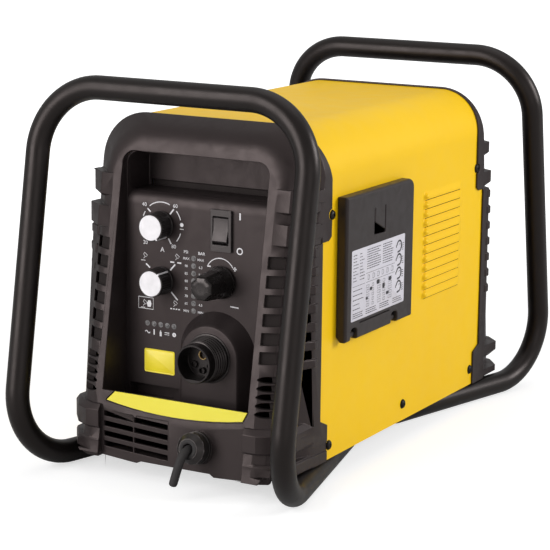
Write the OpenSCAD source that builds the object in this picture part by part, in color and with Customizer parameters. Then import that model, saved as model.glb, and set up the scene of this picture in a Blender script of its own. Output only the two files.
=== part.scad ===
/* [Case] */
// Width of the sheet-metal sleeve cover
cover_w = 234; // [230:1:238]
// Height of the cover's flat top above the floor
cover_top = 330; // [326:1:332]
// Radius of the cover's two upper corners
cover_r = 47; // [42:1:50]
// Thickness of the steel sheet
sheet_t = 1.5; // [1.2:0.1:1.8]
// Distance from the machine's middle to the foot of an end panel's face
face_foot = 250.6; // [248:0.2:254]
// How far an end panel's face leans back for each millimetre of height
face_lean = 0.1678; // [0.160:0.001:0.172]
// Wall of the moulded end panels
panel_wall = 3.2; // [2.8:0.1:3.6]

/* [Tube hoops] */
// Outside diameter of the hoop tube
tube_d = 22.2; // [21.0:0.1:22.2]
// Wall of the hoop tube
tube_wall = 2; // [1.5:0.1:2.5]
// Bend radius of the tube's centreline
bend_r = 62; // [56:1:66]
// Half the distance between a hoop's two upright legs
hoop_half_w = 141; // [139:0.5:146]
// Height of the top rail's centreline
hoop_top = 360.5; // [356:0.5:368]

/* [Front controls] */
// Half width of the recess that holds the controls
recess_half_w = 78; // [76.5:0.5:79]
// Height of the recess's lower lip
recess_low = 80; // [79:0.5:81]
// Height of the recess's upper edge
recess_high = 300; // [298:0.5:301]
// Distance of the control face from the machine's middle
control_y = 196; // [195.5:0.1:196.5]
// Sideways place of the two round control knobs
dial_x = -38.8; // [-40:0.1:-37]
// Height of the current dial's centre
current_z = 232.7; // [231:0.1:234]
// Height of the mode selector's centre
selector_z = 180.5; // [179:0.1:182]
// Sideways place of the pressure knob
pressure_x = 25.5; // [24:0.1:27]
// Height of the pressure knob's axis
pressure_z = 186; // [184:0.1:188]
// Sideways place of the torch socket and its boss
socket_x = 22; // [20:0.1:23]
// Height of the torch socket's axis
socket_z = 117.5; // [116:0.1:119]
// Running clearance of a spindle in its bush, on the radius
spindle_gap = 0.05; // [0.02:0.01:0.08]

/* [Side door] */
// Forward edge of the consumables door
door_front = -146; // [-148:0.5:-142]
// Rear edge of the consumables door
door_back = -8; // [-12:0.5:-5]
// Lower edge of the door
door_low = 131; // [129:0.5:133]
// Upper edge of the door
door_high = 266; // [262:0.5:268]
// How far the door stands out of the cover
door_proud = 11; // [10.5:0.1:12]
// Depth of the consumables compartment behind the door
box_depth = 40; // [32:1:44]

/* [Louvres] */
// Number of louvres on each side
louvre_count = 12; // [8:1:12]
// Height of the lowest louvre
louvre_low = 141; // [139:0.5:143]
// Vertical pitch of the louvres
louvre_pitch = 9; // [9:0.1:9.2]
// Forward end of the louvres
louvre_front = 36; // [34:0.5:40]
// Rear end of the louvres
louvre_back = 124; // [118:0.5:128]

/* [Fan] */
// Radius of the fan's blades
fan_r = 56; // [52:0.5:56]
// Number of blades
blade_count = 7; // [5:1:9]

/* [Work lead] */
// Diameter of the work lead
lead_d = 8; // [7:0.1:8.4]

/* [Hidden] */

lean_angle = atan(face_lean);
half_w = cover_w / 2;
deck_z = tube_d;
seam_gap = 0.3;
lip = 1.7;
shell_w = half_w + seam_gap + lip;
shell_top = cover_top + seam_gap + lip;
shell_r = cover_r + seam_gap + lip;
shell_low = deck_z + seam_gap;
stop_low_y = 178.3;
stop_y = stop_low_y - 4;
pan_half_len = stop_low_y - seam_gap;
step_z = 231.5;
board_t = 1.6;
smooth = 64;

function face_y(z) = -face_foot + face_lean * z;
function slope(z) = z / cos(lean_angle);
function unit(v) = v / norm(v);

// Outline of an arch: flat foot, straight sides and two rounded upper corners
module arch(w, top, r, foot) {
    translate([-w, foot]) square([2 * w, top - r - foot]);
    translate([r - w, foot]) square([2 * (w - r), top - foot]);
    for (side = [-1, 1]) translate([side * (w - r), top - r]) circle(r, $fn = smooth);
}

// Stands an outline drawn in x and z upright between two distances
module upright(y0, y1) {
    translate([0, y1, 0]) rotate([90, 0, 0]) linear_extrude(y1 - y0) children();
}

// Lays an outline drawn in x and slope() on the leaning front face, raised along its normal
module on_face(raise = 0) {
    translate([0, -face_foot, 0]) rotate([90 - lean_angle, 0, 0]) translate([0, 0, raise]) children();
}

// Extrudes an outline drawn in y and z along x
module sideways(x0, x1) {
    translate([x0, 0, 0]) rotate([90, 0, 90]) linear_extrude(x1 - x0) children();
}

// A round bar along y, from y0 to y1
module bar_y(r, y0, y1) {
    translate([0, y0, 0]) rotate([-90, 0, 0]) cylinder(h = y1 - y0, r = r, $fn = smooth);
}

// A round bar along x, from x0 to x1
module bar_x(r, x0, x1) {
    translate([x0, 0, 0]) rotate([0, 90, 0]) cylinder(h = x1 - x0, r = r, $fn = smooth);
}

// ---------------------------------------------------------------- sheet-metal case

pan_flange = 36;
pan_w = half_w - sheet_t - seam_gap;
foot_bolt_steps = [25, 95];
foot_bolt_r = 3;

// Floor tray with turned-up flanges on both long sides
module base_pan() {
    color("dimgray") difference() {
        translate([-pan_w, -pan_half_len, deck_z]) cube([2 * pan_w, 2 * pan_half_len, pan_flange]);
        translate([sheet_t - pan_w, -pan_half_len - 1, deck_z + sheet_t])
            cube([2 * (pan_w - sheet_t), 2 * pan_half_len + 2, pan_flange]);
        each_foot_bolt() translate([0, 0, deck_z - 1]) cylinder(h = 4, r = foot_bolt_r + 0.3, $fn = smooth);
        each_side_screw(cover_screw_spots_low) bar_x(1.9, half_w - 6, half_w);
    }
}

cover_screw_spots_low = [[-2, 39], [-156, 36], [157, 39]];
cover_screw_spots_high = [[-156, 251], [160, 252]];
screw_hole_r = 2.3;
screw_notch_r = 4.8;
screw_r = 1.8;
screw_head_r = 4.2;
screw_head_h = 1.4;

// Repeats its children at a list of [y, z] places on both long sides
module each_side_screw(spots) {
    for (side = [0, 1]) mirror([side, 0, 0])
        for (spot = spots) translate([0, spot[0], spot[1]]) children();
}

louvre_bulb = 5;
louvre_rise = 2.4;
louvre_tail = 22;
louvre_tail_r = 2.7;
louvre_slot_h = 2.6;

// One louvre's rolled form: a ball nose, a barrel and a tail that sinks into the sheet
module louvre_form(shrink) {
    r = louvre_bulb - shrink;
    nose = louvre_front + louvre_bulb;
    tail = louvre_back - louvre_tail;
    translate([half_w - louvre_bulb + louvre_rise, 0, 0]) {
        translate([0, nose, 0]) sphere(r, $fn = smooth);
        bar_y(r, nose, tail);
        translate([0, tail, 0]) rotate([-90, 0, 0])
            cylinder(h = louvre_tail, r1 = r, r2 = louvre_tail_r - shrink, $fn = smooth);
    }
}

// Repeats its children at every louvre's height
module each_louvre() {
    for (i = [0:louvre_count - 1]) translate([0, 0, louvre_low + i * louvre_pitch]) children();
}

// Side view of the cover: the ends are stepped where the end panels hold them
module cover_side_view() {
    for (side = [0, 1]) mirror([side, 0]) {
        translate([-1, 0]) square([stop_y + 1 - seam_gap, cover_top + 1]);
        translate([-1, 0]) square([stop_low_y + 1 - seam_gap, step_z - seam_gap]);
    }
}

door_window_gap = 7;
window_low = door_low + 1.5;

// Arch of folded sheet with rolled louvres, the door's window and its screw holes
module sleeve_cover() {
    color("gold") difference() {
        union() {
            intersection() {
                difference() {
                    upright(-stop_low_y, stop_low_y) arch(half_w, cover_top, cover_r, deck_z + 0.2);
                    upright(-stop_low_y - 1, stop_low_y + 1)
                        arch(half_w - sheet_t, cover_top - sheet_t, cover_r - sheet_t, deck_z - 1);
                }
                sideways(-half_w - 1, half_w + 1) cover_side_view();
            }
            for (side = [0, 1]) mirror([side, 0, 0]) each_louvre() intersection() {
                louvre_form(0);
                translate([half_w - 0.5, louvre_front - 5, -louvre_bulb])
                    cube([louvre_rise + 1, louvre_back - louvre_front + 10, 2 * louvre_bulb]);
            }
        }
        for (side = [0, 1]) mirror([side, 0, 0]) each_louvre() {
            louvre_form(sheet_t * 0.73);
            translate([half_w - sheet_t - 3, louvre_front + 2, -louvre_bulb])
                cube([louvre_rise + 6, louvre_back - louvre_front - louvre_tail - 2, louvre_slot_h]);
        }
        translate([half_w - 10, door_front + door_window_gap, window_low]) cube([
            20, door_back - door_front - 2 * door_window_gap, door_high - window_low - door_window_gap
        ]);
        each_side_screw(concat(cover_screw_spots_low, cover_screw_spots_high))
            bar_x(screw_hole_r, half_w - 4, half_w + 2);
    }
}

// Pan-head screws that hold the cover, with a cross slot in each head
module cover_screws() {
    head_x = half_w + screw_head_h;
    color("silver") each_side_screw(concat(cover_screw_spots_low, cover_screw_spots_high)) difference() {
        union() {
            bar_x(screw_r, half_w - 7, half_w);
            bar_x(screw_head_r, half_w, head_x);
            translate([head_x, 0, 0]) rotate([0, 90, 0])
                cylinder(h = 1, r1 = screw_head_r, r2 = screw_head_r - 1.4, $fn = smooth);
        }
        for (turn = [0, 90]) rotate([turn, 0, 0])
            translate([head_x - 0.2, -2.2, -0.4]) cube([3, 4.4, 0.8]);
    }
}

// ---------------------------------------------------------------- moulded end panels

face_w = 86;
facet_w = 97.5;
facet_d = 5;
brow_w = 102.3;
brow_d = 11;
rim_y = stop_low_y - 5.6;
flank_y = 190;
flank_top = 228;
flank_face = [80, 1.5];
flank_facet = [facet_w + 0.2, facet_d + 0.6];
slab = 0.2;

// A slice of the leaning face, a given depth behind it
module face_slice(depth, thick = slab) {
    multmatrix([[1, 0, 0, 0], [0, 1, face_lean, depth - face_foot], [0, 0, 1, 0], [0, 0, 0, 1]])
        rotate([90, 0, 0]) translate([0, 0, -thick]) linear_extrude(thick) children();
}

// Plan outline at one height: face, two facets and the side band, mirrored about the middle
module plan_slab(z, corner, facet, side) {
    half = [
        [corner[0], face_y(z) + corner[1]], [facet[0], face_y(z) + facet[1]],
        side, [side[0], -155]
    ];
    translate([0, 0, z]) linear_extrude(slab)
        polygon(concat(half, [for (i = [3:-1:0]) [-half[i][0], half[i][1]]]));
}

// A raised block on both flanks: flat top, chamfered underside
module flank_block(low, high, corner, facet, side_y, cut = 5) {
    for (side = [0, 1]) mirror([side, 0, 0]) intersection() {
        hull() {
            plan_slab(low, [corner - 5, 4], [facet - 6, 9], [shell_w - 4, -side_y + 12]);
            plan_slab(low + cut, [corner, 1], [facet, facet_d], [shell_w, -side_y]);
            plan_slab(high - slab, [corner, 1], [facet, facet_d], [shell_w, -side_y]);
        }
        translate([corner - 12, -face_foot, low - 1]) cube([60, 110, high - low + 2]);
    }
}

rib_pitch = 16.8;
rib_low = 124;
rib_slot_h = 10.8;
oval_low = 79.5;
oval_pitch = 7.7;

// Moulded shell of one end: everything but what is cut for its own fittings
module end_shell(with_recess) {
    difference() {
        union() {
            difference() {
                union() {
                    hull() {
                        face_slice(0) arch(face_w, 306, 34, shell_low);
                        face_slice(facet_d) arch(facet_w, 318, 44, shell_low);
                        face_slice(brow_d) arch(brow_w, 325.5, 46, shell_low);
                        upright(-rim_y, -155) arch(shell_w, shell_top, shell_r, shell_low);
                    }
                    hull() {
                        plan_slab(shell_low, flank_face, flank_facet, [shell_w, -flank_y]);
                        plan_slab(flank_top, flank_face, flank_facet, [shell_w, -flank_y]);
                    }
                    flank_block(261, 277, face_w, 101.5, 187);
                    flank_block(229, 246, face_w, 101.5, 194);
                    flank_block(43, 57, 88, 104, 221);
                    flank_block(shell_low, 31, 88, 104, 221, 2);
                }
                end_cavity();
            }
            if (with_recess) recess_wall();
        }
        for (side = [0, 1]) mirror([side, 0, 0]) {
            for (i = [0:5]) rib_slot(rib_low + i * rib_pitch);
            for (i = [0:4]) oval_slot(oval_low + i * oval_pitch);
            for (spot = concat(cover_screw_spots_low, cover_screw_spots_high))
                translate([0, -abs(spot[0]), spot[1]]) bar_x(screw_notch_r, half_w - 2, half_w + 6);
        }
        behind_rear_edge();
    }
}

// Hollow of the shell, with the seat that takes the cover's edge
module end_cavity() {
    hull() {
        face_slice(panel_wall) arch(face_w - 2, 303, 31, shell_low + 2.5);
        face_slice(panel_wall + 6) arch(facet_w - 3.5, 313, 40, shell_low + 2.5);
        upright(-stop_low_y, -stop_low_y + slab)
            arch(half_w - 5, cover_top - 5, cover_r - 5, shell_low + 2.5);
    }
    upright(-stop_low_y, -100) arch(half_w - 5, cover_top - 5, cover_r - 5, 0);
    upright(-stop_y, -100) arch(half_w + seam_gap, cover_top + seam_gap, cover_r + seam_gap, 0);
    upright(-stop_low_y, -stop_y + 1)
        translate([-half_w - seam_gap - 0.05, 0]) square([2 * (half_w + seam_gap + 0.05), step_z]);
}

// Rectangular slot sunk in the flank between two ribs
module rib_slot(z) {
    intersection() {
        translate([face_w - 1.3, -face_foot, z]) cube([17, 100, rib_slot_h]);
        hull() for (level = [z - 1, z + rib_slot_h + 1])
            plan_slab(level, [face_w - 3, -4], [facet_w + 8, -4], [facet_w + 9, -face_foot + 20]);
        multmatrix([[1, 0, 0, 0], [0, 1, face_lean, -face_foot], [0, 0, 1, 0], [0, 0, 0, 1]])
            translate([0, -10, 0]) linear_extrude(300)
                polygon([[80, 0], [81, 11.5], [facet_w, 17.6], [104, 29], [120, 29], [120, 0]]);
    }
}

// Pointed oval slot on the lower flank
module oval_slot(z) {
    translate([94, 0, z]) multmatrix([[1, 0, 0, 0], [0, 1, face_lean, face_y(z)], [0, 0, 1, 0], [0, 0, 0, 1]])
        rotate([90, 0, 0]) translate([0, 0, -9]) linear_extrude(20)
            polygon([[-9, 0], [-5, 1.7], [0, 2.3], [5, 1.7], [9, 0], [5, -1.7], [0, -2.3], [-5, -1.7]]);
}

// Space behind the panel's stepped rear edge
module behind_rear_edge() {
    edge = [
        [16.3, 0], [16.3, 57], [2.8, 63], [2.8, 229], [19.3, 237], [19.3, 285], [12.3, 312], [6.3, 340]
    ];
    sideways(-160, 160) polygon(concat(
        [for (p = edge) [p[0] - stop_low_y, p[1]]],
        [[-90, 340], [-90, 0]]
    ));
}

recess_r = 12;
recess_wall_t = 2.5;
recess_floor = recess_low - 14;

// Deep collar of a recess, from the face back to the plate that closes it
module recess_wall() {
    intersection() {
        difference() {
            upright(-face_foot, -control_y)
                arch(
                    recess_half_w + recess_wall_t, recess_high + recess_wall_t, recess_r + recess_wall_t,
                    recess_floor - recess_wall_t
                );
            upright(-face_foot - 1, -control_y + 1) arch(recess_half_w, recess_high, recess_r, recess_floor);
        }
        multmatrix([[1, 0, 0, 0], [0, 1, face_lean, 1 - face_foot], [0, 0, 1, 0], [0, 0, 0, 1]])
            translate([-100, 0, 0]) cube([200, 100, 330]);
    }
}

grille_rows = [31.3, 40.5, 49.8, 59];
grille_columns = [[-74, 32.2], [-38.3, 34.8]];
gland_x = 29.6;
gland_z = 42;
gland_thread_r = 11;
strip_low_r = 421.5;
strip_low = 65.1;

// Outline of the name strip: slanted ends and an arched lower edge
module strip_outline(grow = 0) {
    offset(delta = grow) intersection() {
        polygon([
            [-63.8, slope(80)], [77.7, slope(80)], [73.4, slope(71)],
            [73, slope(60)], [-73, slope(60)], [-71.9, slope(71.7)]
        ]);
        translate([0, slope(strip_low) + strip_low_r]) circle(strip_low_r, $fn = 180);
    }
}

// Lower lip of the front wall, with a deeper tongue on each side
module front_lip() {
    face_slice(0, panel_wall) polygon([
        [-100, shell_low + 1], [-98, 20.8], [-68, 20.6], [-64, 17.8], [-34, 17.8], [-31, 20.6],
        [45, 20.6], [49, 17.8], [94, 17.8], [98, shell_low + 1]
    ]);
}

// Front end panel: shell, control recess, intake grille and gland hole
module front_panel() {
    color([0.13, 0.12, 0.11]) difference() {
        union() {
            end_shell(true);
            front_lip();
        }
        face_slice(-1, panel_wall + 3) arch(recess_half_w, recess_high, recess_r, recess_low);
        for (z = grille_rows, slot = grille_columns)
            translate([slot[0], -face_foot, z - 1.85]) cube([slot[1], 20, 3.7]);
        on_face(-12) translate([gland_x, slope(gland_z), 0])
            cylinder(h = 20, r = gland_thread_r + 0.3, $fn = smooth);
        on_face(-1.2) linear_extrude(3) strip_outline(1);
    }
}

fan_z = 205;
fan_screw_pitch = 52.5;
inlet_x = 58;
inlet_z = 74;
inlet_neck_r = 9;
mains_x = -58;
mains_z = 74;
mains_thread_r = 12;

// Rear end panel: the same moulding with a plain face, fan grille and holes for the two inlets
module rear_panel() {
    color([0.13, 0.12, 0.11]) mirror([0, 1, 0]) difference() {
        union() {
            end_shell(false);
            front_lip();
        }
        on_face(-12) translate([0, slope(fan_z), 0]) {
            intersection() {
                cylinder(h = 20, r = fan_r, $fn = 48);
                for (i = [-5:5]) translate([-70, i * 10 - 3, 0]) cube([140, 6, 20]);
            }
            each_fan_screw() cylinder(h = 20, r = 2.4, $fn = 24);
        }
        on_face(-12) {
            translate([inlet_x, slope(inlet_z), 0]) cylinder(h = 20, r = inlet_neck_r + 0.3, $fn = smooth);
            translate([mains_x, slope(mains_z), 0]) cylinder(h = 20, r = mains_thread_r + 0.3, $fn = smooth);
        }
    }
}

// Repeats its children at the fan's four corner screws
module each_fan_screw() {
    for (x = [-1, 1], y = [-1, 1]) translate([x * fan_screw_pitch, y * fan_screw_pitch, 0]) children();
}

// Plain slanted strip let into the lower face
module name_strip() {
    color("gold") on_face(-1) linear_extrude(1.3) strip_outline();
}

// ---------------------------------------------------------------- bent tube hoops

foot_end = [82, -55, tube_d / 2];
low_corner = [hoop_half_w, -295.1, tube_d / 2];
top_corner = [hoop_half_w, -236.5, hoop_top];
far_corner = [-hoop_half_w, -236.5, hoop_top];
bend_trim = 0.05;
bend_overlap = 0.6;
foot_dir = unit(foot_end - low_corner);

function turn_at(a, p, b) = acos(unit(p - a) * unit(b - p));
function tangent_at(a, p, b) = bend_r * tan(turn_at(a, p, b) / 2);

// Puts its children into a frame given by an origin and three unit vectors
module in_frame(o, ex, ey, ez) {
    multmatrix([
        [ex[0], ey[0], ez[0], o[0]], [ex[1], ey[1], ez[1], o[1]],
        [ex[2], ey[2], ez[2], o[2]], [0, 0, 0, 1]
    ]) children();
}

// Turns its children's z axis to a level or rising direction
module along(o, dir) {
    ex = unit(cross(abs(dir[2]) > 0.9 ? [1, 0, 0] : [0, 0, 1], dir));
    in_frame(o, ex, cross(dir, ex), dir) children();
}

// Section of the tube; a bend's section is trimmed a little so that the straights overlap it cleanly
module tube_ring(trim) {
    difference() {
        circle(tube_d / 2 - trim, $fn = smooth);
        circle(tube_d / 2 - tube_wall + trim, $fn = smooth);
    }
}

// Straight stretch of tube between two points, shortened for the bends at its ends
module tube_straight(a, b, cut_a, cut_b) {
    dir = unit(b - a);
    over_a = cut_a > 0 ? cut_a - bend_overlap : 0;
    over_b = cut_b > 0 ? cut_b - bend_overlap : 0;
    along(a + dir * over_a, dir) linear_extrude(norm(b - a) - over_a - over_b) tube_ring(0);
}

// Bend of the tube at p on the way from a to b
module tube_bend(a, p, b) {
    turn = turn_at(a, p, b);
    way_in = unit(p - a);
    centre = p + unit(unit(b - p) - way_in) * bend_r / cos(turn / 2);
    ex = unit(p - way_in * tangent_at(a, p, b) - centre);
    in_frame(centre, ex, way_in, cross(ex, way_in))
        rotate_extrude(angle = turn, $fn = 96) translate([bend_r, 0]) tube_ring(bend_trim);
}

low_cut = tangent_at(foot_end, low_corner, top_corner);
top_cut = tangent_at(low_corner, top_corner, far_corner);

// One side of a hoop: foot, lower bend, upright leg and upper bend
module hoop_side() {
    tube_straight(foot_end, low_corner, 0, low_cut);
    tube_bend(foot_end, low_corner, top_corner);
    tube_straight(low_corner, top_corner, low_cut, top_cut);
    tube_bend(low_corner, top_corner, far_corner);
}

// A hoop: one length of steel tube that is foot, upright, rail, upright and foot
module hoop() {
    difference() {
        union() {
            for (side = [0, 1]) mirror([side, 0, 0]) hoop_side();
            tube_straight(top_corner, far_corner, top_cut, top_cut);
        }
        each_foot_bolt() translate([0, 0, tube_d / 2 + 1])
            cylinder(h = tube_d, r = foot_bolt_r + 0.3, $fn = smooth);
    }
}

module front_hoop() {
    color([0.1, 0.1, 0.1]) hoop();
}

module rear_hoop() {
    color([0.1, 0.1, 0.1]) mirror([0, 1, 0]) hoop();
}

// Repeats its children over the tube's feet, where the floor tray is bolted down
module each_foot_bolt() {
    for (turn_x = [0, 1], turn_y = [0, 1], step = foot_bolt_steps)
        mirror([turn_x, 0, 0]) mirror([0, turn_y, 0])
            translate([foot_end[0] - foot_dir[0] * step, foot_end[1] - foot_dir[1] * step, 0]) children();
}

// Moulded plugs that close the ends of the feet
module hoop_end_plugs() {
    color("black") for (turn_x = [0, 1], turn_y = [0, 1])
        mirror([turn_x, 0, 0]) mirror([0, turn_y, 0]) along(foot_end, foot_dir) {
            cylinder(h = 2.5, r = tube_d / 2 - 0.2, $fn = smooth);
            translate([0, 0, -12]) cylinder(h = 12, r = tube_d / 2 - tube_wall - 0.1, $fn = smooth);
        }
}

// Hexagon bolts with washers that clamp the tray to the feet
module foot_bolts() {
    deck_top = deck_z + sheet_t;
    color("silver") each_foot_bolt() {
        translate([0, 0, tube_d / 2])
            cylinder(h = deck_top + 5.5 - tube_d / 2, r = foot_bolt_r, $fn = smooth);
        translate([0, 0, deck_top]) cylinder(h = 1.5, r = 6.5, $fn = smooth);
        translate([0, 0, deck_top + 1.5]) cylinder(h = 4, r = 5.8, $fn = 6);
    }
}

// ---------------------------------------------------------------- control face

plate_t = 3;
plate_w = 83.5;
plate_r = 27;
plate_low = recess_floor - recess_wall_t;
plate_high = recess_high + 3;
plate_back = -control_y + plate_t;
sill_low = 251;
sill_high = 262;
sill_y = -control_y + 6;
pocket_back = -160;
pocket_w = 76;
pocket_t = 2.5;
pocket_r = 12;
boss_r = 40;
boss_front_r = 29.5;
boss_y = -control_y - 16;
boss_foot = recess_floor + 0.4;
low_pocket_d = 7.5;
bush_r = 4.6;
regulator_neck_r = 10;
socket_r = 15;
rocker_x = 25.8;
rocker_z = 233.7;
rocker_case_w = 19.4;
rocker_case_h = 35.4;
lamp_r = 1.3;
scale_lamp_x = -4.3;
scale_lamp_low = 155.4;
scale_lamp_pitch = 7.04;
state_lamp_x = -54.7;
state_lamp_z = 138;
state_lamp_pitch = 7.3;

// Repeats its children at every indicator lamp
module each_lamp() {
    for (i = [0:7]) translate([scale_lamp_x, 0, scale_lamp_low + i * scale_lamp_pitch]) children();
    for (i = [0:4]) translate([state_lamp_x + i * state_lamp_pitch, 0, state_lamp_z]) children();
}

// Mouth of the hand-hold: a rounded opening above a sill that slopes inward
module hand_opening(front, back) {
    intersection() {
        sideways(-pocket_w - 1, pocket_w + 1) polygon([
            [front, sill_low - 5], [-control_y, sill_low], [sill_y, sill_high],
            [back, sill_high], [back, recess_high], [front, recess_high]
        ]);
        upright(front - 1, back) arch(pocket_w, recess_high - 1, pocket_r, sill_low - 6);
    }
}

// Moulded control plate with its lower pocket and all its holes
module control_panel() {
    color([0.15, 0.14, 0.13]) difference() {
        union() {
            upright(-control_y, plate_back) arch(plate_w, plate_high, plate_r, plate_low);
            upright(-control_y, plate_back + low_pocket_d + 2.5)
                translate([-76, plate_low + 1]) square([60, 18]);
        }
        hand_opening(-control_y - 5, plate_back + 5);
        upright(-control_y - 1, plate_back + low_pocket_d) polygon([
            [-74, recess_floor + 0.5], [-28, recess_floor + 0.5], [-18.8, 79], [-74, 79]
        ]);
        for (z = [current_z, selector_z])
            translate([dial_x, 0, z]) bar_y(bush_r + 0.2, -control_y - 1, plate_back + 1);
        translate([pressure_x, 0, pressure_z]) bar_y(regulator_neck_r + 0.3, -control_y - 1, plate_back + 1);
        translate([socket_x, 0, socket_z]) bar_y(socket_r + 0.3, -control_y - 1, plate_back + 1);
        each_lamp() bar_y(lamp_r + 0.2, -control_y - 1, plate_back + 1);
        translate([rocker_x - rocker_case_w / 2, -control_y - 1, rocker_z - rocker_case_h / 2])
            cube([rocker_case_w, plate_t + 2, rocker_case_h]);
    }
}

// Hand-hold pocket behind the plate, with a slot along the foot of its back
module hand_pocket() {
    color([0.15, 0.14, 0.13]) difference() {
        upright(plate_back, pocket_back + pocket_t)
            arch(pocket_w + pocket_t, recess_high + 1.5, pocket_r + pocket_t, sill_low + 3);
        hand_opening(-control_y - 5, pocket_back);
        upright(pocket_back - 1, pocket_back + pocket_t + 1) translate([2 - pocket_w, sill_high])
            square([2 * pocket_w - 4, 5.5]);
    }
}

// Boss that carries the torch socket: a tapered round head that runs straight down
module torch_boss() {
    color([0.15, 0.14, 0.13]) difference() {
        union() {
            translate([socket_x, -control_y, socket_z]) rotate([90, 0, 0])
                cylinder(h = -control_y - boss_y, r1 = boss_r, r2 = boss_front_r, $fn = smooth);
            translate([socket_x, 0, boss_foot]) linear_extrude(socket_z - boss_foot) polygon([
                [-boss_r, -control_y], [-boss_front_r, boss_y], [boss_front_r, boss_y], [boss_r, -control_y]
            ]);
        }
        translate([socket_x, 0, socket_z]) bar_y(socket_r + 0.3, boss_y - 1, -control_y + 1);
    }
}

// Plain label below the dials
module face_label() {
    color("gold") translate([-58.1, -control_y - 0.4, 91.1]) cube([33.3, 0.4, 22.6]);
}

// Clear lenses of the pressure scale and the status lamps
module indicator_lenses() {
    color("palegreen") each_lamp() {
        bar_y(lamp_r, -control_y - 0.5, -control_y + 6);
        bar_y(lamp_r + 0.6, plate_back + 0.2, -control_y + 7);
    }
}

// Circuit board behind the control plate
module control_board() {
    color("darkgreen") difference() {
        translate([-74, -control_y + 22, 126]) cube([80, board_t, 118]);
        for (x = [-69, 1], z = [131, 239]) translate([x, 0, z]) bar_y(1.8, -control_y + 20, -control_y + 26);
    }
}

pot_case_r = 11;
pot_back = -control_y + 17;
spindle_r = 3;
knob_back = -control_y - 1.5;
knob_front = -216;
knob_r = 13;
cap_r = 11.65;
cap_t = 1.6;
index_w = 1.5;
current_angle = -58;
selector_angle = 48.7;

// Rotary part behind the plate: round case and threaded bush around the spindle
module rotary_case(z) {
    translate([dial_x, 0, z]) difference() {
        union() {
            bar_y(pot_case_r, plate_back + 0.2, pot_back);
            bar_y(bush_r, -control_y - 1, plate_back + 0.3);
        }
        bar_y(spindle_r + spindle_gap, -control_y - 2, pot_back - 2);
    }
}

module rotary_spindle(z) {
    translate([dial_x, 0, z]) bar_y(spindle_r, knob_front + 6, pot_back - 2.5);
}

// Round knob, bored for its spindle, sunk for its cap and slotted for the cap's index rib
module dial_knob(z, angle) {
    translate([dial_x, 0, z]) difference() {
        union() {
            bar_y(knob_r, knob_front + 0.8, knob_back);
            translate([0, knob_front + 0.8, 0]) rotate([90, 0, 0])
                cylinder(h = 0.8, r1 = knob_r, r2 = knob_r - 0.8, $fn = smooth);
        }
        bar_y(spindle_r + 0.02, knob_front + 5.5, knob_back + 1);
        bar_y(cap_r + 0.1, knob_front - 1, knob_front + cap_t);
        rotate([0, -angle, 0]) translate([cap_r - 1, knob_front - 1, -index_w / 2 - 0.1])
            cube([knob_r, knob_back - knob_front - 1, index_w + 0.2]);
    }
}

// Printed cap pressed into the front of a knob, with an index rib that runs back along the knob
module dial_cap(z, angle) {
    translate([dial_x, 0, z]) {
        bar_y(cap_r, knob_front - 0.2, knob_front + cap_t - 0.1);
        rotate([0, -angle, 0]) translate([cap_r - 0.9, knob_front - 0.1, -index_w / 2])
            cube([knob_r + 1 - cap_r, knob_back - knob_front - 2, index_w]);
    }
}

module current_pot() { color("silver") rotary_case(current_z); }
module current_spindle() { color("silver") rotary_spindle(current_z); }
module current_knob() { color("black") dial_knob(current_z, current_angle); }
module current_cap() { color("white") dial_cap(current_z, current_angle); }
module selector_switch() { color("silver") rotary_case(selector_z); }
module selector_spindle() { color("silver") rotary_spindle(selector_z); }
module selector_knob() { color("black") dial_knob(selector_z, selector_angle); }
module selector_cap() { color("white") dial_cap(selector_z, selector_angle); }

regulator_back = -150;
regulator_r = 17;
push_spindle_r = 4;
push_knob_back = -control_y - 1.2;
push_knob_front = -233;
push_knob_r = 15.3;
push_knob_front_r = 11.6;

// Pressure regulator: bonnet behind the plate, side ports and a neck through the plate
module air_regulator() {
    color("silver") translate([pressure_x, 0, pressure_z]) difference() {
        union() {
            bar_y(regulator_r, plate_back + 0.2, regulator_back);
            bar_y(regulator_neck_r, -control_y - 0.8, plate_back + 0.3);
            translate([0, regulator_back - 14, -30]) cylinder(h = 24, r = 8, $fn = smooth);
        }
        bar_y(push_spindle_r + spindle_gap, -control_y - 2, regulator_back - 10);
        translate([0, regulator_back - 14, -31]) cylinder(h = 14, r = 5.5, $fn = smooth);
    }
}

module pressure_spindle() {
    color("silver") translate([pressure_x, 0, pressure_z])
        bar_y(push_spindle_r, push_knob_front + 8, regulator_back - 10.5);
}

// Tapered knob with eight flats; it slides outward on its spindle to unlock
module pressure_knob() {
    knob_len = push_knob_back - push_knob_front;
    taper = atan((push_knob_r - push_knob_front_r) / knob_len);
    color("black") translate([pressure_x, 0, pressure_z]) difference() {
        union() {
            translate([0, push_knob_back, 0]) rotate([90, 0, 0])
                cylinder(h = knob_len - 1, r1 = push_knob_r, r2 = push_knob_front_r + 0.1, $fn = smooth);
            translate([0, push_knob_front + 1, 0]) rotate([90, 0, 0])
                cylinder(h = 1, r1 = push_knob_front_r + 0.1, r2 = push_knob_front_r - 1, $fn = smooth);
        }
        for (i = [0:7]) rotate([0, 22.5 + i * 45, 0])
            translate([0, push_knob_back, push_knob_r - 0.9]) rotate([taper, 0, 0])
                translate([-10, -knob_len - 5, 0]) cube([20, knob_len + 2, 10]);
        bar_y(push_spindle_r + spindle_gap, push_knob_front + 3.5, push_knob_back + 1);
        bar_y(push_spindle_r + 5, push_knob_back - 3, push_knob_back + 1);
    }
}

rocker_w = 15.6;
rocker_r = 12.6;
rocker_y = -control_y + 3;
rocker_frame_w = 21.9;
rocker_frame_h = 38.5;
rocker_frame_x = 15.1;
rocker_tilt = -9;
rocker_pin_r = 1.5;

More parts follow.
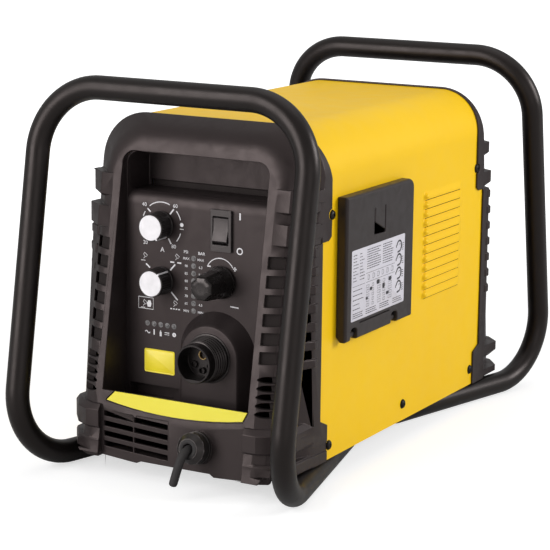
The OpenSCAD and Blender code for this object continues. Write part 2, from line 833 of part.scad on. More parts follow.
// Bezel and case of the power switch, open at the front
module rocker_frame() {
    window_h = 2 * (rocker_r + 0.5);
    case_w = rocker_case_w - 0.6;
    case_h = rocker_case_h - 0.6;
    color([0.2, 0.19, 0.18]) difference() {
        union() {
            translate([rocker_frame_x, -control_y - 3, rocker_z - rocker_frame_h / 2])
                cube([rocker_frame_w, 3, rocker_frame_h]);
            translate([rocker_x - case_w / 2, -control_y - 0.5, rocker_z - case_h / 2])
                cube([case_w, 22, case_h]);
        }
        translate([rocker_x - rocker_w / 2 - 0.4, -control_y - 4, rocker_z - window_h / 2])
            cube([rocker_w + 0.8, 20, window_h]);
        translate([0, rocker_y, rocker_z]) bar_x(rocker_pin_r + spindle_gap, rocker_x - 9, rocker_x + 9);
    }
}

// Rocker with a hollowed two-plane face, shown pressed at its upper half
module power_rocker() {
    color("black") translate([rocker_x, rocker_y, rocker_z]) rotate([rocker_tilt, 0, 0]) {
        sideways(-rocker_w / 2, rocker_w / 2) intersection() {
            circle(rocker_r, $fn = smooth);
            polygon([[-7.5, -13], [-5.4, 0], [-7.5, 13], [4, 13], [4, -13]]);
        }
        bar_x(rocker_pin_r, -rocker_w / 2 - 1.2, rocker_w / 2 + 1.2);
    }
}

// ---------------------------------------------------------------- torch socket and work lead

barrel_back = boss_y - 1;
barrel_front = -240;
barrel_r = 21.6;
barrel_front_r = 17.2;
mouth_r = 15.9;
mouth_flat = -14.2;
socket_floor = -222;

// Tapered threaded barrel, with a flat across the bottom of its mouth
module torch_socket() {
    color([0.1, 0.1, 0.1]) translate([socket_x, 0, socket_z]) difference() {
        union() {
            bar_y(barrel_r + 1.6, barrel_back, boss_y - 0.2);
            translate([0, barrel_back, 0]) rotate([90, 0, 0])
                cylinder(h = barrel_back - barrel_front, r1 = barrel_r, r2 = barrel_front_r, $fn = smooth);
            bar_y(socket_r, boss_y - 0.5, plate_back + 12);
            for (i = [0:5]) translate([0, barrel_back - 5 - i * 3, 0])
                bar_y(barrel_r + 0.3 - i * 0.5, 0, 1.2);
        }
        upright(barrel_front - 1, socket_floor) intersection() {
            circle(mouth_r, $fn = smooth);
            translate([-20, mouth_flat]) square([40, 40]);
        }
        for (spot = socket_pin_spots) translate([spot[0], 0, spot[1]])
            bar_y(spot[2] + 0.1, socket_floor - 1, plate_back + 13);
    }
}

// Place and radius of each contact in the socket
socket_pin_spots = [[1.5, 6, 4.6], [-8.5, -4, 2.2], [8.5, -4, 2.2], [0, -9, 2.2]];

// Brass contacts: a hollow air-and-power contact and three pilot pins
module socket_pins() {
    color("gold") translate([socket_x, 0, socket_z]) difference() {
        for (spot = socket_pin_spots) translate([spot[0], 0, spot[1]])
            bar_y(spot[2], socket_floor - 3, plate_back + 16);
        translate([1.5, 0, 6]) bar_y(3.4, socket_floor - 4, socket_floor + 20);
    }
}

gland_flange_r = 15.2;
gland_nut_r = 14.6;
gland_nut_front_r = 9.5;
gland_nut_h = 13;

// Cable gland: flange on the face, threaded neck and a lock nut behind the wall
module gland_body() {
    color([0.12, 0.12, 0.12]) on_face() translate([gland_x, slope(gland_z), 0]) difference() {
        union() {
            translate([0, 0, 0.2]) cylinder(h = 3.5, r = gland_flange_r, $fn = smooth);
            translate([0, 0, -16]) cylinder(h = 17, r = gland_thread_r, $fn = smooth);
            translate([0, 0, 3.6]) cylinder(h = 5, r = 9, $fn = smooth);
            translate([0, 0, -9]) cylinder(h = 5, r = 15, $fn = 6);
        }
        translate([0, 0, -17]) cylinder(h = 30, r = lead_d / 2 + 1.4, $fn = smooth);
    }
}

// Clamping nut of the gland, rounded towards the cable
module gland_nut() {
    color([0.12, 0.12, 0.12]) on_face() translate([gland_x, slope(gland_z), 4]) difference() {
        union() {
            cylinder(h = gland_nut_h - 5, r = gland_nut_r, $fn = 12);
            translate([0, 0, gland_nut_h - 5])
                cylinder(h = 5, r1 = gland_nut_r - 0.6, r2 = gland_nut_front_r, $fn = smooth);
        }
        translate([0, 0, -1]) cylinder(h = gland_nut_h - 5, r = 9.3, $fn = smooth);
        translate([0, 0, -1]) cylinder(h = gland_nut_h + 2, r = lead_d / 2 + 0.6, $fn = smooth);
        translate([0, 0, gland_nut_h - 3])
            cylinder(h = 4, r1 = lead_d / 2, r2 = lead_d / 2 + 3, $fn = smooth);
    }
}

// Route of the short work lead: out of the gland, forward and down
lead_route = [
    [29.6, -232, 40], [29.6, -247, 42.6], [29.4, -258, 44.2],
    [28, -266, 40], [26, -271, 29.5], [23.5, -275, 15]
];

// A point on a smooth curve through four neighbours
function curve_point(p, t) = 0.5 * (
    2 * p[1] + (p[2] - p[0]) * t + (2 * p[0] - 5 * p[1] + 4 * p[2] - p[3]) * t * t
    + (3 * p[1] - p[0] - 3 * p[2] + p[3]) * t * t * t
);
function near(i) = max(0, min(len(lead_route) - 1, i));
function lead_point(u) =
    let (i = min(floor(u), len(lead_route) - 2))
    curve_point([for (k = [-1:2]) lead_route[near(i + k)]], u - i);

lead_sides = 12;
lead_rings = 15;

// Work lead: one tube swept along its route
module work_lead() {
    last = len(lead_route) - 1;
    rings = [for (k = [0:lead_rings])
        let (
            u = k * last / lead_rings,
            p = lead_point(u),
            dir = unit(lead_point(min(last, u + 0.01)) - lead_point(max(0, u - 0.01))),
            ex = [1, 0, 0] - dir * dir[0],
            ey = cross(dir, unit(ex))
        )
        for (s = [0:lead_sides - 1])
            p + (unit(ex) * cos(s * 360 / lead_sides) + ey * sin(s * 360 / lead_sides)) * lead_d / 2
    ];
    sides = [for (k = [0:lead_rings - 1], s = [0:lead_sides - 1])
        let (n = (s + 1) % lead_sides, a = k * lead_sides, b = a + lead_sides)
        [a + s, b + s, b + n, a + n]
    ];
    color([0.1, 0.1, 0.1]) polyhedron(rings, concat(
        sides,
        [[for (s = [0:lead_sides - 1]) s]],
        [[for (s = [lead_sides - 1:-1:0]) lead_rings * lead_sides + s]]
    ));
}

// ---------------------------------------------------------------- consumables compartment and its door

door_wall = 2.2;
hinge_x = half_w + 5;
hinge_z = door_low + 4.5;
hinge_r = 1.5;
lug_r = 3.1;
lug_spots = [-130, -47];
lug_w = 10;
flange_x = half_w - sheet_t - seam_gap;

// Open tray behind the cover's window, with the two lugs that carry the door
module storage_box() {
    mouth = [door_front + door_window_gap, door_back - door_window_gap];
    color([0.2, 0.19, 0.19]) difference() {
        union() {
            translate([flange_x - 1.5, door_front + 1, door_low - 1])
                cube([1.5, door_back - door_front - 2, door_high - door_low]);
            translate([flange_x - box_depth, mouth[0] - 2, window_low + 5])
                cube([box_depth, mouth[1] - mouth[0] + 4, door_high - door_window_gap - window_low - 3]);
            for (y = lug_spots) {
                translate([flange_x - 1, y - lug_w / 2, hinge_z - 2.2])
                    cube([hinge_x - flange_x + 1, lug_w, 4.4]);
                translate([hinge_x, 0, hinge_z]) bar_y(lug_r, y - lug_w / 2, y + lug_w / 2);
            }
        }
        translate([flange_x - box_depth + 2, mouth[0], window_low + 7])
            cube([box_depth, mouth[1] - mouth[0], door_high - door_window_gap - window_low - 7]);
        for (y = lug_spots) translate([hinge_x, 0, hinge_z])
            bar_y(hinge_r + spindle_gap, y - lug_w / 2 - 1, y + lug_w / 2 + 1);
    }
}

// Outline of the door from the side: square but for a rounded upper rear corner
module door_outline(inset) {
    r = 9;
    hull() {
        translate([door_front + inset, door_low + inset]) square([20, 20]);
        translate([door_back - inset - 20, door_low + inset]) square([20, 20]);
        translate([door_front + inset, door_high - inset - 20]) square([20, 20]);
        translate([door_back - r, door_high - r]) circle(r - inset, $fn = 32);
    }
}

// Shallow hinged door: hollow back, bevelled rim, latch tongue and pin ribs
module side_door() {
    base_x = half_w + 0.4;
    face_x = half_w + door_proud;
    color([0.2, 0.19, 0.19]) difference() {
        union() {
            difference() {
                hull() {
                    sideways(base_x, face_x - 2) door_outline(0);
                    sideways(base_x, face_x) door_outline(1.6);
                }
                sideways(base_x - 1, face_x - door_wall) door_outline(door_wall);
            }
            for (y = lug_spots, side = [-1, 1])
                translate([base_x + 2, y + side * (lug_w / 2 + 2.6) - 2, door_low + 1])
                    cube([face_x - base_x - 3, 4, 9]);
        }
        for (y = lug_spots) {
            translate([hinge_x, 0, hinge_z]) bar_y(hinge_r + 0.02, y - 12, y + 12);
            translate([hinge_x - 6, y - lug_w / 2 - 0.6, door_low - 1]) cube([9.6, lug_w + 1.2, 9.5]);
        }
        translate([0, door_front - 1, 0]) rotate([-90, 0, 0]) linear_extrude(door_back - door_front + 2)
            polygon([
                [base_x - 1, 1 - door_low], [base_x - 1, -hinge_z - 0.3], [base_x, -hinge_z - 0.3],
                [hinge_x - 1, -door_low], [hinge_x - 1, 1 - door_low]
            ]);
        sideways(face_x - door_wall - 1, face_x + 1) {
            translate([-92, 224]) square([1.2, 25]);
            translate([-70.4, 224]) square([1.2, 25]);
            polygon([[-91.5, 236], [-92, 224], [-69.2, 223], [-69.2, 225.5]]);
        }
    }
}

// Printed chart on the door's face
module door_chart() {
    color("gainsboro") translate([half_w + door_proud, -137, 149]) cube([0.3, 109, 66.4]);
}

// Two steel pins that the door turns on
module door_hinge_pins() {
    color("silver") for (y = lug_spots) translate([hinge_x, 0, hinge_z]) bar_y(hinge_r, y - 9.5, y + 9.5);
}

// ---------------------------------------------------------------- inside

floor_z = deck_z + sheet_t;
core_size = [100, 62, 92];
core_x = -5;
core_y = 40;
core_foot = floor_z + 4;
core_leg = 26;
core_window = [22, 50];

// Laminated core of the transformer, on two rails
module main_transformer() {
    color("dimgray") translate([core_x, core_y, core_foot]) difference() {
        union() {
            translate([-core_size[0] / 2, -core_size[1] / 2, 0]) cube(core_size);
            for (y = [-1, 1]) translate([-core_size[0] / 2 - 4, y * 24 - 5, -4])
                cube([core_size[0] + 8, 10, 4]);
        }
        for (side = [-1, 1])
            translate([side * (core_leg + core_window[0]) / 2 - core_window[0] / 2, -core_size[1], 21])
                cube([core_window[0], 2 * core_size[1], core_window[1]]);
    }
}

// Winding around the core's middle leg
module transformer_coils() {
    color([0.7, 0.35, 0.15])
        translate([core_x, core_y, core_foot + 21.5]) linear_extrude(core_window[1] - 1)
        difference() {
            square([core_leg + 2 * core_window[0] - 1, core_size[1] + 42], center = true);
            square([core_leg + 1, core_size[1] + 1], center = true);
        }
}

// Toroidal output choke, standing on its edge
module output_inductor() {
    color([0.7, 0.35, 0.15]) translate([-5, -75, floor_z + 48]) rotate([90, 0, 0])
        rotate_extrude($fn = 96) translate([32, 0]) circle(15, $fn = smooth);
}

sink_y = -130;
sink_z = 110;
sink_len = 180;
sink_h = 110;
fin_reach = 28.5;
fin_count = 15;

// Finned aluminium heat sink that carries the power semiconductors
module heat_sink() {
    color("lightgray") translate([-108, sink_y, sink_z]) {
        translate([fin_reach - 0.5, 0, 0]) cube([6, sink_len, sink_h]);
        for (i = [0:fin_count - 1]) translate([0, 2 + i * (sink_len - 6.4) / (fin_count - 1), 0])
            cube([fin_reach, 2.4, sink_h]);
    }
}

module power_board() {
    color("darkgreen") translate([-69, sink_y, sink_z - 6]) cube([board_t, sink_len, sink_h + 12]);
}

// Electrolytic capacitors standing off the power board
capacitor_r = 17.5;
capacitor_rows = [-110, -65, -20];
capacitor_levels = [137, 189];

module capacitors() {
    color("black") for (y = capacitor_rows, z = capacitor_levels)
        translate([0, y, z]) bar_x(capacitor_r, -67.2, -22);
}

module solenoid_valve() {
    color("silver") {
        translate([inlet_x - 14, -150, inlet_z - 14]) cube([28, 44, 28]);
        translate([inlet_x, -128, inlet_z + 13]) cylinder(h = 38, r = 13, $fn = smooth);
    }
}

pipe_r = 4;

// Rigid air pipe from the rear inlet to the solenoid valve
module air_pipe() {
    color("steelblue") translate([inlet_x, 0, inlet_z + 2]) difference() {
        bar_y(pipe_r, -105.8, 206);
        bar_y(pipe_r - 1, -106.8, 207);
    }
}

inlet_thread_r = 6.6;

// Hexagon air-inlet fitting on the rear face, tapped from outside
module air_inlet() {
    color("gold") mirror([0, 1, 0]) on_face() translate([inlet_x, slope(inlet_z), 0]) difference() {
        union() {
            translate([0, 0, 0.2]) cylinder(h = 14, r = 12.7, $fn = 6);
            translate([0, 0, -18]) cylinder(h = 19, r = inlet_neck_r, $fn = smooth);
        }
        translate([0, 0, -2]) cylinder(h = 18, r = inlet_thread_r, $fn = smooth);
        translate([0, 0, -30]) cylinder(h = 30, r = pipe_r + 1.4, $fn = smooth);
    }
}

mains_bore_r = 6.5;

// Cable gland of the mains lead, empty
module mains_gland() {
    color([0.12, 0.12, 0.12])
        mirror([0, 1, 0]) on_face() translate([mains_x, slope(mains_z), 0]) difference() {
        union() {
            translate([0, 0, 0.2]) cylinder(h = 4, r = 17, $fn = smooth);
            translate([0, 0, 4]) cylinder(h = 9, r = 15.5, $fn = 6);
            translate([0, 0, 13]) cylinder(h = 5, r1 = 13.4, r2 = 9.5, $fn = smooth);
            translate([0, 0, -16]) cylinder(h = 17, r = mains_thread_r, $fn = smooth);
        }
        translate([0, 0, -17]) cylinder(h = 40, r = mains_bore_r, $fn = smooth);
    }
}

fan_back = 3.5;
fan_depth = 25;
fan_size = 120;
hub_r = 20;
blade_angle = 38;
blade_t = 1.8;

// Puts its children on the rear face's inner side, on the fan's axis
module on_fan(depth) {
    mirror([0, 1, 0]) on_face(-fan_back - depth) translate([0, slope(fan_z), 0]) children();
}

// Square fan frame with a round throat and four struts to the motor seat
module fan_frame() {
    color("black") on_fan(fan_depth) difference() {
        union() {
            difference() {
                translate([-fan_size / 2, -fan_size / 2, 0]) cube([fan_size, fan_size, fan_depth]);
                translate([0, 0, -1]) cylinder(h = fan_depth + 2, r = fan_r + 2, $fn = smooth);
            }
            cylinder(h = 3, r = hub_r, $fn = smooth);
            for (turn = [45:90:315]) rotate([0, 0, turn]) translate([hub_r - 3, -2.5, 0])
                cube([fan_r - hub_r + 7, 5, 3]);
        }
        each_fan_screw() translate([0, 0, -1]) cylinder(h = fan_depth + 2, r = 2.3, $fn = smooth);
    }
}

// Fixed motor boss and its spindle
module fan_motor() {
    color("silver") on_fan(fan_depth - 3.2) {
        cylinder(h = 4, r = 14, $fn = smooth);
        cylinder(h = 17, r = 2.5, $fn = smooth);
    }
}

// Hub and angled blades
module fan_rotor() {
    color("black") on_fan(fan_depth - 8) difference() {
        union() {
            cylinder(h = 14, r = hub_r, $fn = smooth);
            intersection() {
                cylinder(h = 14, r = fan_r, $fn = smooth);
                for (i = [0:blade_count - 1]) rotate([0, 0, i * 360 / blade_count])
                    translate([hub_r - 4, 0, 7]) rotate([blade_angle, 0, 0])
                        translate([0, -20, -blade_t / 2]) cube([fan_r, 40, blade_t]);
            }
        }
        translate([0, 0, -1]) cylinder(h = 14, r = 2.5 + spindle_gap, $fn = smooth);
    }
}

// Screws that hold the fan to the rear face
module fan_screws() {
    color("silver") mirror([0, 1, 0]) on_face() translate([0, slope(fan_z), 0]) each_fan_screw() {
        translate([0, 0, 0.1]) cylinder(h = 1.6, r1 = 4.4, r2 = 3.4, $fn = smooth);
        translate([0, 0, -24]) cylinder(h = 24.5, r = 2, $fn = smooth);
    }
}

base_pan();
sleeve_cover();
front_panel();
rear_panel();
front_hoop();
rear_hoop();
hoop_end_plugs();
foot_bolts();
control_panel();
hand_pocket();
torch_boss();
name_strip();
face_label();
torch_socket();
socket_pins();
gland_body();
gland_nut();
work_lead();
rocker_frame();
power_rocker();
current_pot();
current_spindle();
current_knob();
current_cap();
selector_switch();
selector_spindle();
selector_knob();
selector_cap();
air_regulator();
pressure_spindle();
pressure_knob();
indicator_lenses();
control_board();
storage_box();
side_door();
door_chart();
door_hinge_pins();
heat_sink();
main_transformer();
transformer_coils();
output_inductor();
power_board();
capacitors();
solenoid_valve();
air_pipe();
air_inlet();
fan_frame();
fan_motor();
fan_rotor();
fan_screws();
mains_gland();
cover_screws();
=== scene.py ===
import math
import random

import bmesh
import bpy
from mathutils import Matrix, Vector


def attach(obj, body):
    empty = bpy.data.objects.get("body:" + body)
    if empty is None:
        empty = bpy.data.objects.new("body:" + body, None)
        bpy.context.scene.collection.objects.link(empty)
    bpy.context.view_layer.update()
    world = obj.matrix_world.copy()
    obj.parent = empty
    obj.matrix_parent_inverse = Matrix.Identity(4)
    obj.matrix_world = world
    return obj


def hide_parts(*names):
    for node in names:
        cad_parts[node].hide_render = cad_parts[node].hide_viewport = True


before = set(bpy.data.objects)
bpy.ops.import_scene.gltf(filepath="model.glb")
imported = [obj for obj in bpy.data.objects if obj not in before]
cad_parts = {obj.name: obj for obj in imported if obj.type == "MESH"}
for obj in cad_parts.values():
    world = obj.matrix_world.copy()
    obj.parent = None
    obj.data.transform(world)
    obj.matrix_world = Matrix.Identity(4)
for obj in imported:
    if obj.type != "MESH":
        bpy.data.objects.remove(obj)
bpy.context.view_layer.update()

# ---------------------------------------------------------------- viewpoint
# A long lens in front of the machine and to its right, about two metres off.
# It stands over the machine's top and looks slightly down.

camera_place = Vector((0.9644, -1.7561, 0.5754))
camera_yaw, camera_pitch, camera_roll = (math.radians(a) for a in (-29.51, 11.86, 0.60))
camera_focus_px = 2045
picture_px = 550

forward = Vector((
    math.sin(camera_yaw) * math.cos(camera_pitch),
    math.cos(camera_yaw) * math.cos(camera_pitch),
    -math.sin(camera_pitch),
))
level = Vector((math.cos(camera_yaw), -math.sin(camera_yaw), 0))
above = level.cross(forward)
right = level * math.cos(camera_roll) + above * math.sin(camera_roll)
upward = above * math.cos(camera_roll) - level * math.sin(camera_roll)
camera_data = bpy.data.cameras.new("camera")
camera_data.sensor_width = 36
camera_data.lens = camera_data.sensor_width * camera_focus_px / picture_px
camera_data.clip_start, camera_data.clip_end = 0.1, 80


def linked(name, data):
    """A new object in the scene."""
    made = bpy.data.objects.new(name, data)
    bpy.context.scene.collection.objects.link(made)
    return made


camera = linked("camera", camera_data)
camera.matrix_world = Matrix((right, upward, -forward)).transposed().to_4x4()
camera.location = camera_place
bpy.context.scene.camera = camera
bpy.context.scene.view_settings.view_transform = "Standard"

# ---------------------------------------------------------------- studio
# A pale floor that runs out to the background, an even white surround and five soft boxes.
# Floor and surround are brighter for the camera than for the machine, so its black parts stay black.


def new_material(name):
    """An empty node material: returns the material, its node tree and its Principled shader."""
    made = bpy.data.materials.new(name)
    made.use_nodes = True
    tree = made.node_tree
    return made, tree, tree.nodes["Principled BSDF"]


def lit_for_camera(tree, plain, near, far):
    """Adds white light to a shader for rays straight from the camera, more of it far from the machine."""
    ray = tree.nodes.new("ShaderNodeLightPath")
    level_of = tree.nodes.new("ShaderNodeMath")
    level_of.operation = "MULTIPLY"
    reach = tree.nodes.new("ShaderNodeVectorMath")
    reach.operation = "LENGTH"
    tree.links.new(tree.nodes.new("ShaderNodeTexCoord").outputs["Object"], reach.inputs[0])
    fall = tree.nodes.new("ShaderNodeMapRange")
    fall.interpolation_type = "SMOOTHSTEP"
    fall.inputs["From Min"].default_value, fall.inputs["From Max"].default_value = 0.45, 1.6
    fall.inputs["To Min"].default_value, fall.inputs["To Max"].default_value = near, far
    tree.links.new(reach.outputs["Value"], fall.inputs["Value"])
    tree.links.new(fall.outputs[0], level_of.inputs[1])
    glow = tree.nodes.new("ShaderNodeEmission")
    both = tree.nodes.new("ShaderNodeAddShader")
    tree.links.new(ray.outputs["Is Camera Ray"], level_of.inputs[0])
    tree.links.new(level_of.outputs[0], glow.inputs["Strength"])
    tree.links.new(plain, both.inputs[0])
    tree.links.new(glow.outputs[0], both.inputs[1])
    return both.outputs[0]


floor_material, floor_tree, floor_shader = new_material("studio floor")
floor_shader.inputs["Base Color"].default_value = (0.55, 0.55, 0.55, 1)
floor_shader.inputs["Roughness"].default_value = 0.9
floor_shader.inputs["Specular IOR Level"].default_value = 0.1
floor_tree.links.new(
    lit_for_camera(floor_tree, floor_shader.outputs[0], 0.62, 1.0),
    floor_tree.nodes["Material Output"].inputs["Surface"],
)
floor_mesh = bpy.data.meshes.new("studio_floor")
floor_mesh.from_pydata([(-30, -30, 0), (30, -30, 0), (30, 30, 0), (-30, 30, 0)], [], [(0, 1, 2, 3)])
floor_mesh.materials.append(floor_material)
floor = linked("studio_floor", floor_mesh)

world = bpy.data.worlds.new("studio surround")
world.use_nodes = True
bpy.context.scene.world = world
surround = world.node_tree.nodes["Background"]
surround.inputs["Color"].default_value = (1, 1, 1, 1)
surround_ray = world.node_tree.nodes.new("ShaderNodeLightPath")
surround_level = world.node_tree.nodes.new("ShaderNodeMapRange")
surround_level.inputs["To Min"].default_value = 0.46
surround_level.inputs["To Max"].default_value = 1.0
world.node_tree.links.new(surround_ray.outputs["Is Camera Ray"], surround_level.inputs["Value"])
world.node_tree.links.new(surround_level.outputs[0], surround.inputs["Strength"])


def soft_box(name, place, aim, width, height, power):
    """A rectangular soft box at a place, facing a point."""
    lamp = bpy.data.lights.new(name, "AREA")
    lamp.shape = "RECTANGLE"
    lamp.size, lamp.size_y = width, height
    lamp.energy = power
    box = linked(name, lamp)
    box.location = place
    box.rotation_euler = (Vector(aim) - Vector(place)).to_track_quat("-Z", "Y").to_euler()
    return box


soft_box("overhead box", (0.1, 0.2, 2.0), (0, 0, 0.2), 1.6, 1.6, 6)
soft_box("left front box", (-1.05, -2.5, 0.9), (0, -0.2, 0.2), 1.6, 1.9, 50)
soft_box("right box", (2.2, 1.1, 1.2), (0, 0, 0.2), 1.0, 1.0, 38)
soft_box("right front fill", (2.3, -1.9, 0.6), (0, -0.2, 0.2), 1.8, 1.2, 7)
soft_box("high front box", (-1.1, -1.7, 1.6), (0, -0.2, 0.25), 0.9, 0.5, 6)

# ---------------------------------------------------------------- work lead
# Short work lead: stranded copper in a matt black rubber sheath, moulded shut at its free end.
# It leaves the gland, bends over by its own weight and hangs forward of the face.

MM = 0.001

lead_d = 8.0
lead_route = [
    (29.6, -232, 40), (29.6, -247, 42.6), (29.4, -258, 44.2),
    (28, -266, 40), (26, -271, 29.5), (23.5, -275, 15),
]


def smooth_path(points, steps):
    """Points along the smooth curve that passes through the given ones."""
    at = [Vector(p) for p in points]
    found = []
    for i in range(len(at) - 1):
        a, b, c, d = at[max(i - 1, 0)], at[i], at[i + 1], at[min(i + 2, len(at) - 1)]
        for k in range(steps):
            t = k / steps
            found.append(0.5 * (
                2 * b + (c - a) * t + (2 * a - 5 * b + 4 * c - d) * t * t + (3 * b - a - 3 * c + d) * t ** 3
            ))
    found.append(at[-1])
    return found


def ring_frame(path, k):
    """Two directions across a path at one of its points."""
    way = (path[min(k + 1, len(path) - 1)] - path[max(k - 1, 0)]).normalized()
    across = Vector((1, 0, 0))
    across = (across - way * across.dot(way)).normalized()
    return across, way.cross(across)


def closed(bm):
    """The same closed form with all its faces turned outward."""
    bmesh.ops.recalc_face_normals(bm, faces=bm.faces)
    return bm


def tube_along(bm, path, radii, sides):
    """A closed tube round a path, one radius for each point, with its rings kept in a UV map."""
    uv = bm.loops.layers.uv.verify()
    rings, run = [], [0.0]
    for k, p in enumerate(path):
        across, rise = ring_frame(path, k)
        if k:
            run.append(run[-1] + (p - path[k - 1]).length)
        rings.append([
            bm.verts.new(p + (across * math.cos(turn) + rise * math.sin(turn)) * radii[k])
            for turn in (2 * math.pi * s / sides for s in range(sides))
        ])
    for k in range(len(rings) - 1):
        for s in range(sides):
            n = (s + 1) % sides
            face = bm.faces.new((rings[k][s], rings[k][n], rings[k + 1][n], rings[k + 1][s]))
            for loop, u, v in zip(face.loops, (s, s + 1, s + 1, s), (run[k], run[k], run[k + 1], run[k + 1])):
                loop[uv].uv = (u / sides, v)
    bm.faces.new(list(reversed(rings[0])))
    bm.faces.new(rings[-1])
    closed(bm)


def mesh_of(name, bm, smooth_angle=35):
    """A mesh in metres from a bmesh drawn in millimetres; edges sharper than the angle stay crisp."""
    bmesh.ops.scale(bm, vec=(MM, MM, MM), verts=bm.verts)
    mesh = bpy.data.meshes.new(name)
    bm.to_mesh(mesh)
    bm.free()
    shade(mesh, smooth_angle)
    return mesh


def shade(mesh, smooth_angle):
    """Smooth shading, with edges sharper than the angle left crisp."""
    mesh.shade_smooth()
    mesh.set_sharp_from_angle(angle=math.radians(smooth_angle))


def piece(name, mesh, material, body, stands_for=()):
    """A finished piece of the machine: its material, the body it moves with and the nodes it stands for."""
    made = linked(name, mesh)
    mesh.materials.clear()
    mesh.materials.append(material)
    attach(made, body)
    if stands_for:
        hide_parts(*stands_for)
    return made


def shaped(name, bm, smooth_angle, material, body, stands_for=()):
    """A finished piece from a bmesh drawn in millimetres."""
    return piece(name, mesh_of(name, bm, smooth_angle), material, body, stands_for)


def noise(tree, scale, detail=4, distortion=0.0, source=None):
    """A noise texture on the piece's own coordinates, in cycles a metre."""
    texture = tree.nodes.new("ShaderNodeTexNoise")
    texture.inputs["Scale"].default_value = scale
    texture.inputs["Detail"].default_value = detail
    texture.inputs["Distortion"].default_value = distortion
    if source is None:
        source = tree.nodes.new("ShaderNodeTexCoord").outputs["Object"]
    tree.links.new(source, texture.inputs["Vector"])
    return texture.outputs[0]


def spread(tree, value, low, high):
    """Maps the middle of a texture's range onto two values."""
    node = tree.nodes.new("ShaderNodeMapRange")
    node.inputs["From Min"].default_value = 0.3
    node.inputs["From Max"].default_value = 0.7
    node.inputs["To Min"].default_value = low
    node.inputs["To Max"].default_value = high
    tree.links.new(value, node.inputs["Value"])
    return node.outputs[0]


def two_colours(tree, value, low, high):
    """Blends two colours by a texture's value."""
    node = tree.nodes.new("ShaderNodeValToRGB")
    node.color_ramp.elements[0].position, node.color_ramp.elements[1].position = 0.35, 0.65
    node.color_ramp.elements[0].color = (*low, 1)
    node.color_ramp.elements[1].color = (*high, 1)
    tree.links.new(value, node.inputs[0])
    return node.outputs[0]


def toned(tree, shader, tint, low, high, wear, sleek, rough):
    """Blends a shader's colour by one texture and lets its roughness wander by another."""
    tree.links.new(two_colours(tree, tint, low, high), shader.inputs["Base Color"])
    tree.links.new(spread(tree, wear, sleek, rough), shader.inputs["Roughness"])


def bumps(tree, shader, layers):
    """Stacks bump layers, each a texture's value with its strength and depth in metres."""
    last = None
    for value, strength, depth in layers:
        node = tree.nodes.new("ShaderNodeBump")
        node.inputs["Strength"].default_value = strength
        node.inputs["Distance"].default_value = depth
        tree.links.new(value, node.inputs["Height"])
        if last is not None:
            tree.links.new(last, node.inputs["Normal"])
        last = node.outputs[0]
    tree.links.new(last, shader.inputs["Normal"])


def rubber(name, colour):
    """Matt rubber with a fine skin and a dusty bloom."""
    made, tree, shader = new_material(name)
    bloom = noise(tree, 90, 5)
    toned(tree, shader, bloom, colour, tuple(c * 1.5 for c in colour), bloom, 0.62, 0.8)
    bumps(tree, shader, [(noise(tree, 2600, 3), 0.25, 0.0001), (noise(tree, 300, 2), 0.1, 0.0003)])
    shader.inputs["Specular IOR Level"].default_value = 0.35
    return made


rubber_black = rubber("black rubber", (0.018, 0.016, 0.016))
lead_path = smooth_path(lead_route, 4)
tip = (lead_path[-1] - lead_path[-2]).normalized()
lead_radii = [lead_d / 2] * len(lead_path)
lead_radii[-1] = lead_d / 2 - 0.2
for back, share in ((0.9, 0.9), (1.8, 0.66), (2.3, 0.3)):
    lead_path.append(Vector(lead_route[-1]) + tip * back)
    lead_radii.append(lead_d / 2 * share)
lead_bm = bmesh.new()
tube_along(lead_bm, lead_path, lead_radii, 20)
lead = shaped("work_lead_sheath", lead_bm, 60, rubber_black, "chassis", ["work_lead"])

# ---------------------------------------------------------------- sleeve cover
# Arch of folded steel sheet with rolled louvres and a window for the consumables door.
# It is powder coated yellow and slides between the two moulded ends, held by screws along its foot.

cover_half_w, cover_top, cover_corner, cover_foot = 117.0, 330.0, 47.0, 22.4
cover_sheet = 1.5
cover_step_z, cover_end_low, cover_end_high = 231.2, 178.0, 174.0
door_window = (-139.0, -15.0, 132.5, 259.0)
louvre_count, louvre_pitch = 12, 9.0
louvre_low, louvre_high = 136.5, 244.5
louvre_front, louvre_back = 33.0, 128.0
louvre_rise = 2.2


def powder_coat(name, colour, dark, roughness, peel, sheen_tint=(1, 1, 1)):
    """Powder coat: an orange-peel skin, slight mottling, and roughness that wanders."""
    made, tree, shader = new_material(name)
    broad = noise(tree, 7, 3)
    fine = noise(tree, 60, 5)
    toned(tree, shader, broad, dark, colour, fine, roughness - 0.05, roughness + 0.07)
    bumps(tree, shader, [(noise(tree, 700, 2), peel, 0.00025), (noise(tree, 2400, 2), peel * 0.5, 0.00008)])
    shader.inputs["Specular Tint"].default_value = (*sheen_tint, 1)
    return made


powder_yellow = powder_coat(
    "yellow powder coat", (0.93, 0.575, 0.003), (0.90, 0.545, 0.0025), 0.42, 0.10, (1.0, 0.86, 0.42))


def louvre_height(y, z):
    """How far a louvre's hood stands out at a place in its tile, measured from the tile's middle."""
    nose = louvre_front + 4.5
    along = min(1, max(0, (y - nose + 3.0) / 3.5))
    fade = min(1, max(0, (louvre_back - 4.0 - y) / 10.0)) ** 0.5
    hood = 0.0
    if -3.16 < z < 4.4:
        up = (4.4 - z) / 7.0
        hood = louvre_rise * 0.8 * math.sin(min(1, up) * math.pi / 2) ** 1.3
    reach = math.hypot((y - nose - 2.2) / 4.2, (z - 0.2) / 3.6)
    ball = (louvre_rise + 1.7) * math.sqrt(max(0, 1 - reach * reach)) if reach < 1 else 0
    return max(hood * math.sin(along * math.pi / 2) * fade, ball)


